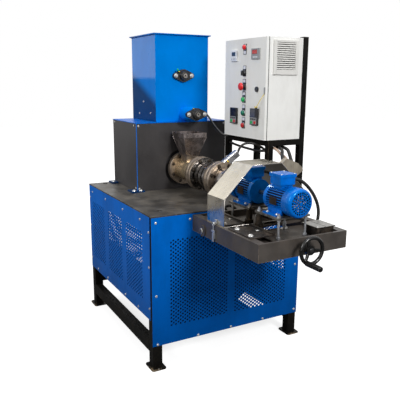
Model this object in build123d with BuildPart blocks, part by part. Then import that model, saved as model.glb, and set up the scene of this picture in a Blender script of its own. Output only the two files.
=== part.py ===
from build123d import *
import math
import os

os.makedirs("parts", exist_ok=True)

# Pet food extruder. Millimetres, +X to the operator's right along the front, +Y to the rear, +Z up.
# The origin is on the floor at the middle of the four anchor holes.

# Table
table_w = 870.0
table_d = 930.0
table_h = 766.0
top_t = 5.0
sheet_t = 2.0
leg_side = 50.0
foot_x = 76.0
foot_y = 94.0
foot_t = 6.0
foot_corner_r = 12.0
anchor_hole_d = 12.0
anchor_out = 36.0
lift_hole_d = 25.0
lift_hole_x = 348.0
lift_hole_front_y = -366.0
lift_hole_back_y = 420.0
rail_w = 40.0
rail_h = 60.0
side_rail_z = 78.0
back_rail_z = 150.0
top_rail_h = 50.0
front_panel_z = 120.0
side_panel_z = 248.0
panel_gap = 20.0
panel_back_gap = 4.0
panel_in = 10.0
seat = 0.3

# Drive housing and hopper
centre_x = 9.0
housing_w = 569.0
housing_d = 366.5
housing_h = 379.0
housing_x = 15.0
housing_top_t = 4.0
housing_lip = 3.0
recess_d = 214.0
recess_depth = 24.0
spigot_d = 128.0
lug_out = 40.0
lug_fore = 20.0
lug_len = 68.0
lug_in = 38.0
lug_t = 8.0
hopper_w = 332.0
hopper_d = 338.0
hopper_z_top = table_h + 852.0
hopper_x = 27.0
hopper_wall = 4.0
slope_h = 130.0
trough_z = 30.0
trough_w = 90.0
lip_out = 13.0
lip_h = 10.0
feeder_x = 48.0
agitator_x = 30.0
agitator_z = table_h + 638.0
feeder_z = table_h + 428.0
feed_tube_d = 80.0
feed_tube_len = 122.0
outlet_len = 64.0
outlet_w = 60.0
outlet_depth = 22.0
bearing_len = 130.0
bearing_bolt = 99.0
bearing_body_d = 70.0
bearing_t = 15.0
bearing_boss_t = 30.0
shaft_d = 25.0

# Barrel
axis_z = table_h + 120.0
flange_d = 181.0
flange1_t = 32.0
pair_t = 56.0
barrel_d = 120.0
band_d = 138.0
band_t = 26.0
band_gap = 12.0
collar_d = 132.0
collar_len = 60.0
head_d = 110.0
flange1_y = 94.5
flange2_y = -117.0
flange3_y = -314.0
head_end_y = -622.0
connector_len = 80.0
connector_w = 28.0
connector_h = 36.0
connector_ring = 3.0

# Feed funnel
funnel_top = 139.0
funnel_bottom = 74.0
funnel_z_top = table_h + 330.0
funnel_skirt = 24.0
funnel_z_bottom = table_h + 201.0
funnel_wall = 2.5
funnel_y = 4.0

# Front tray
tray_w = 457.0
tray_front_y = -1011.0
tray_z_top = table_h - 12.0
tray_h = 76.0
tray_t = 8.0
tray_rail_w = 36.0
tray_front_t = 14.0
deck_t = 8.0
deck_z = table_h - 23.0
deck_front_y = -750.0
chute_w = 220.0
chute_front_y = -700.0
chute_rear_y = -600.0
carriage_z = table_h - 35.0
carriage_t = 10.0
carriage_w = 196.0
carriage_mid_x = 4.0
carriage_front_y = -950.0
carriage_rear_y = -775.0
guide_x0 = -205.0
guide_x1 = -87.0
guide_front_y = -935.0
guide_rear_y = -760.0
guide_t = 4.0
guide_bar_w = 10.0
guide_bar_h = 7.0
cover_x0 = 105.0
cover_x1 = 205.0
cover_front_y = -975.0
cover_rear_y = -870.0
cover_z = table_h + 6.0
cover_t = 3.0
cover_inset = 7.0
hose_y = -850.0
hose_ring_in = 24.5
hose_ring_d = 24.0
hose_ring_h = 6.0

# Cutter guard
guard_inset = 9.0
guard_front_y = -737.0
guard_rear_y = -590.0
guard_z_top = table_h + 252.0
guard_chamfer = 140.0
guard_t = 3.0
guard_bore = 150.0
guard_box_y1 = -705.0
guard_box_w = 25.0
guard_box_outline = [(8, 0), (11, 36), (76, 63), (105, 66), (122, 60), (110, 0)]
guard_hole_d = 40.0
latch_y = -670.0
latch_z = tray_z_top - 16.0
latch_base_t = 5.0
latch_wire_d = 5.0
latch_eye_r = 7.0
ear_d = 52.0
ear_t = 6.0
ear_y = -566.0
ear_z = table_h - 65.0

# Cutter motor
motor_axis_h = 63.0
motor_plate_t = 8.0
motor_plate_x = 171.0
motor_plate_y = 171.0
rod_d = 10.0
rod_pitch = 141.0
rod_mid_x = 15.5
rod_mid_y = -845.5
nut_r = 9.0
nut_h = 8.0
sleeve_d = 28.0
sleeve_h = 47.0
sleeve_collar_d = 40.0
motor_foot_x = 69.0
motor_foot_w = 36.0
motor_foot_t = 6.0
motor_web_t = 8.0
motor_foot_front_y = -903.0
motor_foot_rear_y = -806.0
motor_body_d = 114.0
shield_len = 20.0
fin_count = 32
fin_h = 14.0
fin_t = 2.6
motor_rear_y = -788.0
cowl_rear_y = -922.0
cowl_front_y = -978.5
cowl_d = 125.0
cowl_corner_r = 12.0
motor_shaft_d = 19.0
box_w = 84.0
box_d = 88.0
box_h = 46.0
lid_h = 14.0
lid_out = 4.0
box_corner_r = 6.0
box_seat_w = 60.0
box_seat_d = 64.0
box_z = table_h + 184.0
box_mid_y = -849.0
gland_d = 20.0
gland_len = 13.0

# Handwheel
wheel_y = -1057.0
wheel_z = table_h - 57.0
wheel_d = 125.0
wheel_rim_d = 16.0
wheel_dish = 16.0
wheel_hub_d = 40.0
wheel_hub_len = 24.0
grip_r = 54.5
wheel_shaft_d = 16.0
grip_d = 23.0
grip_len = 84.0

# Control cabinet
tube = 30.0
cab_frame_x0 = 209.0
cab_frame_x1 = 435.0
cab_frame_y0 = -465.0
cab_frame_y1 = -50.0
cab_z0 = table_h + 320.0
cab_h = 500.0
cab_x0 = 199.0
cab_w = 205.0
cab_y0 = -462.0
cab_l = 374.0
door_t = 16.0
door_gap = 2.0
seal_in = 12.0
fan_w = 150.0
fan_h = 165.0
fan_t = 9.0
fan_x = 297.0
fan_z_top = table_h + 806.0
button_y = -277.0
button_d = 30.0
button_cap_d = 24.0
button_collar_t = 4.0
button_cap_t = 9.0
lamp_z = cab_z0 + 457.0
lamp_cap_t = 10.0
selector_z = cab_z0 + 330.0
knob_w = 8.0
knob_len = 26.0
knob_t = 14.0
stop_z = cab_z0 + 262.0
stop_collar_t = 5.0
stop_neck_d = 22.0
stop_neck_t = 16.0
stop_head_d = 40.0
stop_head_t = 12.0
button_heights = [cab_z0 + up for up in (196.0, 128.0, 64.0)]
legend_heights = [cab_z0 + up for up in (432.0, 357.0, 290.0, 226.0, 160.0, 96.0)]
legend_w = 28.0
legend_h = 20.0
legend_t = 2.0
meter_t = 9.0
controller_t = 7.0
lock_y = -393.0
lock_z = cab_z0 + 250.0
lock_d = 26.0
lock_t = 7.0
keypad_t = 14.0
tag_t = 4.0
tag_w = 15.0
tag_h = 46.0
tag_y = -411.0
tag_z_top = table_h + 481.0

# Derived heights and faces
top_z0 = table_h - top_t
leg_x = table_w / 2 - sheet_t - leg_side / 2
leg_y = table_d / 2 - sheet_t - leg_side / 2
frame_x = table_w / 2 - sheet_t
frame_y = table_d / 2 - sheet_t
housing_x0 = housing_x - housing_w / 2
housing_x1 = housing_x + housing_w / 2
housing_y1 = table_d / 2
housing_y0 = housing_y1 - housing_d
housing_z1 = table_h + housing_h
hopper_z0 = housing_z1 + housing_top_t
hopper_y1 = table_d / 2
hopper_y0 = hopper_y1 - hopper_d
hopper_y = (hopper_y0 + hopper_y1) / 2
tray_x0 = centre_x - tray_w / 2
tray_x1 = centre_x + tray_w / 2
tray_z0 = tray_z_top - tray_h
motor_plate_z1 = axis_z - motor_axis_h
door_x1 = cab_x0 - door_gap
door_x0 = door_x1 - door_t
gland_end_x = centre_x + box_w / 2 - lid_out + gland_len
gland_z = box_z + 17.0


def box_between(x0, x1, y0, y1, z0, z1, mode=Mode.ADD):
    """Add a box by its six faces to the part being built."""
    with Locations(((x0 + x1) / 2, (y0 + y1) / 2, (z0 + z1) / 2)):
        Box(x1 - x0, y1 - y0, z1 - z0, mode=mode)


def bar_along_y(x, y0, y1, z, diameter, mode=Mode.ADD):
    """Add a round bar that runs along Y to the part being built."""
    with Locations(Location((x, (y0 + y1) / 2, z), (90, 0, 0))):
        Cylinder(diameter / 2, y1 - y0, mode=mode)


def save(name, built):
    """Label a finished piece and write its file."""
    built.part.label = name
    export_step(built.part, f"parts/{name}.step")


leg_corners = [(sx * leg_x, sy * leg_y) for sx in (-1, 1) for sy in (-1, 1)]

# Four legs with rounded foot plates
with BuildPart() as legs:
    for sx in (-1, 1):
        for sy in (-1, 1):
            with BuildSketch(Plane.XY):
                with Locations((sx * leg_x, sy * leg_y)):
                    RectangleRounded(foot_x, foot_y, foot_corner_r)
                with Locations((sx * leg_x, sy * (leg_y + anchor_out))):
                    Circle(anchor_hole_d / 2, mode=Mode.SUBTRACT)
            extrude(amount=foot_t)
    with BuildSketch(Plane.XY.offset(foot_t)):
        with Locations(*leg_corners):
            RectangleRounded(leg_side, leg_side, 4)
    extrude(amount=top_z0 - foot_t)
save("legs", legs)

# Low side and back rails and the four rails under the top
inner_x = leg_x - leg_side / 2
inner_y = leg_y - leg_side / 2
with BuildPart() as frame_rails:
    for x0 in (-frame_x, frame_x - rail_w):
        box_between(x0, x0 + rail_w, -inner_y, inner_y, side_rail_z, side_rail_z + rail_h)
        box_between(x0, x0 + rail_w, -inner_y, inner_y, top_z0 - top_rail_h, top_z0)
    box_between(-inner_x, inner_x, frame_y - rail_w, frame_y, back_rail_z, back_rail_z + rail_h)
    for y0 in (-frame_y, frame_y - rail_w):
        box_between(-inner_x, inner_x, y0, y0 + rail_w, top_z0 - top_rail_h, top_z0)
save("frame_rails", frame_rails)

# Table top plate with four lifting holes
lift_holes = [(x, y) for x in (-lift_hole_x, lift_hole_x) for y in (lift_hole_front_y, lift_hole_back_y)]
with BuildPart() as table_top:
    with BuildSketch(Plane.XY.offset(top_z0)):
        RectangleRounded(table_w, table_d, 3)
        with Locations(*lift_holes):
            Circle(lift_hole_d / 2, mode=Mode.SUBTRACT)
    extrude(amount=top_t)
save("table_top", table_top)

# Panels
with BuildPart() as front_panel:
    box_between(-table_w / 2, table_w / 2, -table_d / 2, -frame_y, front_panel_z, top_z0)
save("front_panel", front_panel)

with BuildPart() as side_panels:
    for x0 in (-table_w / 2, frame_x):
        box_between(x0, x0 + sheet_t, -frame_y + panel_gap, frame_y - panel_back_gap, side_panel_z, top_z0)
save("side_panels", side_panels)

with BuildPart() as back_panel:
    box_between(-table_w / 2 + panel_in, table_w / 2 - panel_in, frame_y, table_d / 2, side_panel_z, top_z0)
save("back_panel", back_panel)

# Drive housing with a round recess and the spigot that carries the barrel
with BuildPart() as drive_housing:
    box_between(housing_x0, housing_x1, housing_y0, housing_y1, table_h, housing_z1)
    bar_along_y(centre_x, housing_y0 - 1, housing_y0 + recess_depth, axis_z, recess_d, mode=Mode.SUBTRACT)
    bar_along_y(centre_x, flange1_y, housing_y0 + recess_depth + 5, axis_z, spigot_d)
save("drive_housing", drive_housing)

# Mounting lugs at the four lower corners of the housing
with BuildPart() as housing_feet:
    for x0, back_x0 in ((housing_x0 - lug_out, housing_x0 - lug_out), (housing_x1 - lug_in, housing_x1)):
        box_between(x0, x0 + lug_in + lug_out, housing_y0 - lug_fore, housing_y0 + lug_len - lug_fore,
                    table_h, table_h + lug_t)
        box_between(back_x0, back_x0 + lug_out, housing_y1 - lug_len, housing_y1, table_h, table_h + lug_t)
    box_between(housing_x0, housing_x1, housing_y0, housing_y1, table_h, housing_z1, mode=Mode.SUBTRACT)
save("housing_feet", housing_feet)

with BuildPart() as housing_top:
    box_between(housing_x0 - housing_lip, housing_x1 + housing_lip, housing_y0 - housing_lip, housing_y1,
                housing_z1, hopper_z0)
save("housing_top", housing_top)

# Feed hopper: square shell with a sloped floor
with BuildPart() as hopper_body:
    with BuildSketch(Plane.XY.offset(hopper_z0)):
        with Locations((hopper_x, hopper_y)):
            Rectangle(hopper_w, hopper_d)
    extrude(amount=hopper_z_top - hopper_z0)
    with BuildSketch(Plane.XY.offset(hopper_z0 + slope_h)):
        with Locations((hopper_x, hopper_y)):
            Rectangle(hopper_w - 2 * hopper_wall, hopper_d - 2 * hopper_wall)
    with BuildSketch(Plane.XY.offset(hopper_z0 + trough_z)):
        with Locations((feeder_x, hopper_y)):
            Rectangle(trough_w, hopper_d - 2 * hopper_wall)
    loft(mode=Mode.SUBTRACT)
    with BuildSketch(Plane.XY.offset(hopper_z0 + slope_h)):
        with Locations((hopper_x, hopper_y)):
            Rectangle(hopper_w - 2 * hopper_wall, hopper_d - 2 * hopper_wall)
    extrude(amount=hopper_z_top - hopper_z0, mode=Mode.SUBTRACT)
save("hopper_body", hopper_body)

# Flared hopper lip
with BuildPart() as hopper_lip:
    with BuildSketch(Plane.XY.offset(hopper_z_top)):
        with Locations((hopper_x, hopper_y)):
            Rectangle(hopper_w, hopper_d)
    with BuildSketch(Plane.XY.offset(hopper_z_top + lip_h)):
        with Locations((hopper_x, hopper_y)):
            Rectangle(hopper_w + 2 * lip_out, hopper_d + 2 * lip_out)
    loft()
    with BuildSketch(Plane.XY.offset(hopper_z_top)):
        with Locations((hopper_x, hopper_y)):
            Rectangle(hopper_w - 2 * hopper_wall, hopper_d - 2 * hopper_wall)
    with BuildSketch(Plane.XY.offset(hopper_z_top + lip_h)):
        with Locations((hopper_x, hopper_y)):
            Rectangle(hopper_w + 2 * lip_out - 2 * hopper_wall, hopper_d + 2 * lip_out - 2 * hopper_wall)
    loft(mode=Mode.SUBTRACT)
save("hopper_lip", hopper_lip)

# Feed screw tube with its outlet cut in the underside, over the funnel
feed_end_y = hopper_y0 - feed_tube_len
outlet_y = feed_end_y + 12

with BuildPart() as feed_tube:
    bar_along_y(feeder_x, feed_end_y, hopper_y0, feeder_z, feed_tube_d)
    box_between(feeder_x - outlet_w / 2, feeder_x + outlet_w / 2, outlet_y, outlet_y + outlet_len,
                feeder_z - feed_tube_d / 2 - 1, feeder_z - feed_tube_d / 2 + outlet_depth, mode=Mode.SUBTRACT)
save("feed_tube", feed_tube)

# Two oval two-bolt bearings, on the hopper front and on the end of the feed tube
bearing_faces = [(agitator_x, hopper_y0, agitator_z), (feeder_x, feed_end_y, feeder_z)]
with BuildPart() as shaft_bearings:
    for x, y_face, z in bearing_faces:
        seat_plane = Plane(origin=(x, y_face, z), x_dir=(1, 0, 0), z_dir=(0, -1, 0))
        with BuildSketch(seat_plane):
            Circle(bearing_body_d / 2)
            with Locations((-bearing_bolt / 2, 0), (bearing_bolt / 2, 0)):
                Circle((bearing_len - bearing_bolt) / 2)
            make_hull()
        extrude(amount=bearing_t)
        with BuildSketch(seat_plane.offset(bearing_t)):
            Circle(bearing_body_d / 2 - 6)
        with BuildSketch(seat_plane.offset(bearing_boss_t)):
            Circle(bearing_body_d / 2 - 11)
        loft()
        with BuildSketch(seat_plane):
            Circle(shaft_d / 2)
        extrude(amount=bearing_boss_t, mode=Mode.SUBTRACT)
save("shaft_bearings", shaft_bearings)

with BuildPart() as shaft_ends:
    for x, y_face, z in bearing_faces:
        bar_along_y(x, y_face - bearing_boss_t - 5, y_face, z, shaft_d)
        bar_along_y(x, y_face - bearing_boss_t - 6, y_face - bearing_boss_t + 3, z, 8, mode=Mode.SUBTRACT)
save("shaft_ends", shaft_ends)

# Feed funnel: an upright skirt on a square cone, cut through
with BuildPart() as feed_funnel:
    for shrink, mode in ((0, Mode.ADD), (2 * funnel_wall, Mode.SUBTRACT)):
        with BuildSketch(Plane.XY.offset(funnel_z_bottom)):
            with Locations((centre_x, funnel_y)):
                Rectangle(funnel_bottom - shrink, funnel_bottom - shrink)
        with BuildSketch(Plane.XY.offset(funnel_z_top - funnel_skirt)):
            with Locations((centre_x, funnel_y)):
                Rectangle(funnel_top - shrink, funnel_top - shrink)
        loft(mode=mode)
        with BuildSketch(Plane.XY.offset(funnel_z_top - funnel_skirt)):
            with Locations((centre_x, funnel_y)):
                Rectangle(funnel_top - shrink, funnel_top - shrink)
        extrude(amount=funnel_skirt, mode=mode)
save("feed_funnel", feed_funnel)

# Barrel inlet: rear flange, round section and the square neck under the funnel
with BuildPart() as barrel_inlet:
    bar_along_y(centre_x, flange1_y - flange1_t, flange1_y, axis_z, flange_d)
    bar_along_y(centre_x, flange2_y, flange1_y, axis_z, barrel_d)
    box_between(centre_x - funnel_bottom / 2 + 2, centre_x + funnel_bottom / 2 - 2,
                funnel_y - funnel_bottom / 2 + 2, funnel_y + funnel_bottom / 2 - 2, axis_z, funnel_z_bottom)
    bar_along_y(centre_x, flange2_y - pair_t / 2, flange2_y, axis_z, flange_d)
    box_between(centre_x - funnel_bottom / 2 + 8, centre_x + funnel_bottom / 2 - 8,
                funnel_y - funnel_bottom / 2 + 8, funnel_y + funnel_bottom / 2 - 8,
                axis_z + barrel_d / 4, funnel_z_bottom, mode=Mode.SUBTRACT)
save("barrel_inlet", barrel_inlet)

with BuildPart() as barrel_middle:
    bar_along_y(centre_x, flange2_y - pair_t, flange2_y - pair_t / 2, axis_z, flange_d)
    bar_along_y(centre_x, flange3_y, flange2_y - pair_t / 2, axis_z, barrel_d)
    bar_along_y(centre_x, flange3_y - pair_t / 2, flange3_y, axis_z, flange_d)
save("barrel_middle", barrel_middle)

band_y = flange2_y - pair_t - band_gap
collar_y1 = flange3_y - pair_t - 8
with BuildPart() as heater_bands:
    for k in range(3):
        y1 = band_y - k * (band_t + band_gap)
        bar_along_y(centre_x, y1 - band_t, y1, axis_z, band_d)
        bar_along_y(centre_x, y1 - band_t - 1, y1 + 1, axis_z, barrel_d, mode=Mode.SUBTRACT)
    for k in range(3):
        y1 = band_y - k * (band_t + band_gap)
        box_between(centre_x - 30, centre_x - 8, y1 - band_t + 4, y1 - 4,
                    axis_z - band_d / 2 - 12, axis_z - band_d / 2 + 4)
        bar_along_y(centre_x, y1 - band_t - 1, y1 + 1, axis_z, barrel_d, mode=Mode.SUBTRACT)
    bar_along_y(centre_x, collar_y1 - collar_len, collar_y1, axis_z, collar_d)
    bar_along_y(centre_x, collar_y1 - collar_len - 1, collar_y1 + 1, axis_z, head_d, mode=Mode.SUBTRACT)
save("heater_bands", heater_bands)

with BuildPart() as barrel_head:
    bar_along_y(centre_x, flange3_y - pair_t, flange3_y - pair_t / 2, axis_z, flange_d)
    bar_along_y(centre_x, head_end_y, flange3_y - pair_t / 2, axis_z, head_d)
save("barrel_head", barrel_head)

# Silver heater connector on the rim of the front flange pair, leaning up to the right
connector_root = (centre_x + 21, flange3_y - 38, axis_z + 88)
connector_plane = Plane(origin=connector_root, x_dir=(0, 1, 0), z_dir=(0.84, 0, 0.55))
with BuildPart() as heater_connector:
    with BuildSketch(connector_plane.offset(-20)):
        RectangleRounded(connector_w, connector_h, 6)
    extrude(amount=20 + connector_len)
    with BuildSketch(connector_plane.offset(26)):
        RectangleRounded(connector_w + connector_ring, connector_h + connector_ring, 6)
    extrude(amount=8)
    bar_along_y(centre_x, flange3_y - 80, flange3_y + 20, axis_z, flange_d, mode=Mode.SUBTRACT)
save("heater_connector", heater_connector)

# Front tray: two side rails, front and rear plates, the rear deck with its chute opening and the floor
tray_inner_x0 = tray_x0 + tray_rail_w
tray_inner_x1 = tray_x1 - tray_rail_w
tray_inner_y0 = tray_front_y + tray_front_t
tray_inner_y1 = -table_d / 2 - tray_t
hose_ring_x = tray_x1 - hose_ring_in
with BuildPart() as tray_frame:
    box_between(tray_x0, tray_x1, tray_front_y, -table_d / 2, tray_z0, tray_z_top)
    box_between(tray_inner_x0, tray_inner_x1, tray_inner_y0, tray_inner_y1, tray_z0 - 1, tray_z_top + 1,
                mode=Mode.SUBTRACT)
    box_between(tray_inner_x0, tray_inner_x1, deck_front_y, tray_inner_y1, deck_z - deck_t, deck_z)
    box_between(centre_x - chute_w / 2, centre_x + chute_w / 2, chute_front_y, chute_rear_y,
                deck_z - deck_t - 1, deck_z + 1, mode=Mode.SUBTRACT)
    box_between(tray_inner_x0, tray_inner_x1, tray_inner_y0, deck_front_y,
                carriage_z - carriage_t - deck_t, carriage_z - carriage_t)
    with Locations((hose_ring_x, hose_y, tray_z_top + hose_ring_h / 2)):
        Cylinder(hose_ring_d / 2, hose_ring_h)
save("tray_frame", tray_frame)

# Left guide plate with its bar, and the raised right cover on its box
with BuildPart() as guide_plates:
    box_between(guide_x0, guide_x1, guide_front_y, guide_rear_y, tray_z_top, tray_z_top + guide_t)
    box_between(guide_x1 - guide_bar_w, guide_x1, guide_front_y, guide_rear_y,
                tray_z_top + guide_t, tray_z_top + guide_t + guide_bar_h)
    box_between(cover_x0, cover_x1, cover_front_y, cover_rear_y, cover_z - cover_t, cover_z)
    box_between(cover_x0 + cover_inset, tray_inner_x1, cover_front_y + cover_inset,
                cover_rear_y - cover_inset, carriage_z - carriage_t, cover_z - cover_t)
save("guide_plates", guide_plates)

with BuildPart() as carriage_plate:
    box_between(carriage_mid_x - carriage_w / 2, carriage_mid_x + carriage_w / 2,
                carriage_front_y, carriage_rear_y, carriage_z - carriage_t, carriage_z)
save("carriage_plate", carriage_plate)

# Cutter guard: a hood with cut-off top corners, open at the bottom
guard_x0 = tray_x0 + guard_inset
guard_x1 = tray_x1 - guard_inset
with BuildPart() as cutter_guard:
    for inset, mode in ((0.0, Mode.ADD), (guard_t, Mode.SUBTRACT)):
        gx0 = guard_x0 + inset
        gx1 = guard_x1 - inset
        gz1 = guard_z_top - inset
        drop = guard_chamfer - inset * (2 - math.sqrt(2))
        with BuildSketch(Plane(origin=(0, guard_front_y + inset, 0), x_dir=(1, 0, 0), z_dir=(0, -1, 0))):
            with BuildLine():
                Polyline((gx0, tray_z_top), (gx0, gz1 - drop), (gx0 + drop, gz1), (gx1 - drop, gz1),
                         (gx1, gz1 - drop), (gx1, tray_z_top), close=True)
            make_face()
        extrude(amount=-(guard_rear_y - guard_front_y - 2 * inset), mode=mode)
    bar_along_y(centre_x, guard_rear_y - 20, guard_rear_y + 1, axis_z, guard_bore, mode=Mode.SUBTRACT)
    bar_along_y(centre_x, guard_front_y - 1, guard_front_y + 20, axis_z, guard_hole_d,
                mode=Mode.SUBTRACT)
save("cutter_guard", cutter_guard)

# Stainless box on the right slope of the guard, with a cut-off top
slope_root = (guard_x1 - guard_chamfer, guard_box_y1, guard_z_top)
slope_plane = Plane(origin=slope_root, x_dir=(1, 0, -1), z_dir=(0, -1, 0))
with BuildPart() as guard_box:
    with BuildSketch(slope_plane):
        with BuildLine():
            Polyline(*guard_box_outline, close=True)
        make_face()
    extrude(amount=guard_box_w)
save("guard_box", guard_box)

# Toggle latch on the left rail: base, lever, loop end, rod, ring eye and the hook on the guard
latch_x = tray_x0
lever_x = latch_x - latch_base_t
rod_x = latch_x - latch_base_t - 1
with BuildPart() as guard_latch:
    box_between(lever_x, latch_x, latch_y - 9, latch_y + 9, latch_z - 46, latch_z - 14)
    box_between(lever_x - 4, lever_x, latch_y - 6, latch_y + 6, latch_z - 60, latch_z - 20)
    box_between(lever_x - 4, lever_x + 2, latch_y - 13, latch_y + 13, latch_z - 16, latch_z - 8)
    with Locations((rod_x, latch_y, latch_z + 1)):
        Cylinder(latch_wire_d / 2, 24)
    with Locations(Location((rod_x, latch_y, latch_z + 20), (0, 90, 0))):
        Torus(latch_eye_r, latch_wire_d / 2)
    box_between(guard_x0 - 14, guard_x0, latch_y - 3, latch_y + 3, latch_z + 19, latch_z + 28)
    box_between(guard_x0 - 4, guard_x0, latch_y - 10, latch_y + 10, latch_z + 24, latch_z + 38)
save("guard_latch", guard_latch)

# Pivot ear with its bolt on the left side of the tray
with BuildPart() as pivot_ear:
    with Locations(Location((tray_x0 - ear_t / 2, ear_y, ear_z), (0, 90, 0))):
        Cylinder(ear_d / 2, ear_t)
    with Locations(Location((tray_x0 - ear_t - 4, ear_y, ear_z), (0, 90, 0))):
        Cylinder(9, 8)
save("pivot_ear", pivot_ear)

# Motor plate on four threaded rods with nuts, the rear left one in a sleeve
rod_out = rod_pitch / 2
rod_spots = [(rod_mid_x + sx * rod_out, rod_mid_y + sy * rod_out) for sx in (-1, 1) for sy in (-1, 1)]
sleeve_spot = rod_spots[1]
bare_spots = [spot for spot in rod_spots if spot != sleeve_spot]
with BuildPart() as motor_plate:
    with BuildSketch(Plane.XY.offset(motor_plate_z1 - motor_plate_t)):
        with Locations((rod_mid_x, rod_mid_y)):
            RectangleRounded(motor_plate_x, motor_plate_y, 4)
        with Locations(*rod_spots):
            Circle(rod_d / 2, mode=Mode.SUBTRACT)
    extrude(amount=motor_plate_t)
save("motor_plate", motor_plate)

with BuildPart() as motor_rods:
    with BuildSketch(Plane.XY.offset(carriage_z)):
        with Locations(*rod_spots):
            Circle(rod_d / 2)
    extrude(amount=motor_plate_z1 + 2 * nut_h - carriage_z)
    for z0, height, spots in ((carriage_z, nut_h, bare_spots), (carriage_z, 3 * nut_h, rod_spots[3:]),
                              (motor_plate_z1 - motor_plate_t - nut_h, nut_h, bare_spots),
                              (motor_plate_z1, nut_h, rod_spots)):
        with BuildSketch(Plane.XY.offset(z0)):
            with Locations(*spots):
                RegularPolygon(nut_r, 6)
        extrude(amount=height)
save("motor_rods", motor_rods)

sleeve_z0 = motor_plate_z1 - motor_plate_t - sleeve_h
with BuildPart() as rod_sleeve:
    for z0, height, diameter in ((carriage_z, sleeve_z0 - carriage_z, sleeve_collar_d),
                                 (sleeve_z0, sleeve_h, sleeve_d)):
        with BuildSketch(Plane.XY.offset(z0)):
            with Locations(sleeve_spot):
                Circle(diameter / 2)
                Circle(rod_d / 2, mode=Mode.SUBTRACT)
        extrude(amount=height)
save("rod_sleeve", rod_sleeve)

# Motor body with fins, drive-end shield, feet and shaft
with BuildPart() as motor_body:
    bar_along_y(centre_x, cowl_rear_y, motor_rear_y, axis_z, motor_body_d - fin_h)
    bar_along_y(centre_x, motor_rear_y - shield_len, motor_rear_y, axis_z, motor_body_d - 2)
    with BuildSketch(Plane(origin=(centre_x, cowl_rear_y, axis_z), x_dir=(1, 0, 0), z_dir=(0, 1, 0))):
        with PolarLocations((motor_body_d - fin_h) / 2, fin_count):
            Rectangle(fin_h, fin_t)
    extrude(amount=motor_rear_y - shield_len - cowl_rear_y)
    for sx in (-1, 1):
        foot_mid = centre_x + sx * (motor_foot_x - motor_foot_w / 2)
        web_mid = centre_x + sx * (motor_foot_x - motor_foot_w + motor_web_t / 2)
        box_between(foot_mid - motor_foot_w / 2, foot_mid + motor_foot_w / 2,
                    motor_foot_front_y, motor_foot_rear_y, motor_plate_z1, motor_plate_z1 + motor_foot_t)
        box_between(web_mid - motor_web_t / 2, web_mid + motor_web_t / 2,
                    motor_foot_front_y, motor_foot_rear_y, motor_plate_z1, axis_z - 20)
    box_between(centre_x - box_seat_w / 2, centre_x + box_seat_w / 2, box_mid_y - box_seat_d / 2,
                box_mid_y + box_seat_d / 2, axis_z + 30, box_z)
save("motor_body", motor_body)

with BuildPart() as motor_shaft:
    bar_along_y(centre_x, motor_rear_y, guard_front_y + 40, axis_z, motor_shaft_d)
save("motor_shaft", motor_shaft)

with BuildPart() as motor_cowl:
    bar_along_y(centre_x, cowl_front_y, cowl_rear_y, axis_z, cowl_d)
    fillet(motor_cowl.edges().filter_by(GeomType.CIRCLE).sort_by(Axis.Y)[0], cowl_corner_r)
save("motor_cowl", motor_cowl)

with BuildPart() as terminal_box:
    with BuildSketch(Plane.XY.offset(box_z)):
        with Locations((centre_x, box_mid_y)):
            RectangleRounded(box_w - 2 * lid_out, box_d - 2 * lid_out, box_corner_r)
    extrude(amount=box_h - lid_h)
    with BuildSketch(Plane.XY.offset(box_z + box_h - lid_h)):
        with Locations((centre_x, box_mid_y)):
            RectangleRounded(box_w, box_d, box_corner_r)
    extrude(amount=lid_h)
    with Locations(Location((gland_end_x - gland_len / 2, hose_y, gland_z), (0, 90, 0))):
        Cylinder(gland_d / 2, gland_len)
save("terminal_box", terminal_box)

# Dished handwheel: round rim, three spokes that lean back to the hub, and the grip's boss
grip_angle = 235.0
grip_x = centre_x + grip_r * math.cos(math.radians(grip_angle))
grip_z = wheel_z + grip_r * math.sin(math.radians(grip_angle))
rim_r = wheel_d / 2 - wheel_rim_d / 2
hub_y0 = wheel_y + wheel_dish - wheel_hub_len / 2
hub_y1 = wheel_y + wheel_dish + wheel_hub_len / 2
with BuildPart() as handwheel:
    with BuildSketch(Plane.YZ.offset(centre_x)):
        with Locations((wheel_y, wheel_z + rim_r)):
            Circle(wheel_rim_d / 2)
    revolve(axis=Axis((centre_x, 0, wheel_z), (0, 1, 0)))
    bar_along_y(centre_x, hub_y0, hub_y1, wheel_z, wheel_hub_d)
    for k in range(3):
        turn = math.radians(grip_angle + 120 * k)
        out = (math.cos(turn), 0, math.sin(turn))
        lean = Vector(out[0] * rim_r, -wheel_dish, out[2] * rim_r)
        spoke_root = (centre_x, wheel_y + wheel_dish, wheel_z)
        spoke_plane = Plane(origin=spoke_root, x_dir=(-out[2], 0, out[0]), z_dir=lean)
        with BuildSketch(spoke_plane.offset(wheel_hub_d / 4)):
            RectangleRounded(17, 9, 3)
        with BuildSketch(spoke_plane.offset(lean.length)):
            RectangleRounded(11, 7, 2)
        loft()
    bar_along_y(grip_x, wheel_y - wheel_rim_d / 2 - 3, wheel_y, grip_z, 14)
save("handwheel", handwheel)

grip_y1 = wheel_y - wheel_rim_d / 2 - 3
with BuildPart() as wheel_grip:
    bar_along_y(grip_x, grip_y1 - grip_len, grip_y1, grip_z, grip_d)
    fillet(wheel_grip.edges().filter_by(GeomType.CIRCLE).sort_by(Axis.Y)[0], 5)
save("wheel_grip", wheel_grip)

with BuildPart() as wheel_shaft:
    bar_along_y(centre_x, hub_y1, tray_front_y, wheel_z, wheel_shaft_d)
save("wheel_shaft", wheel_shaft)

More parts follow.
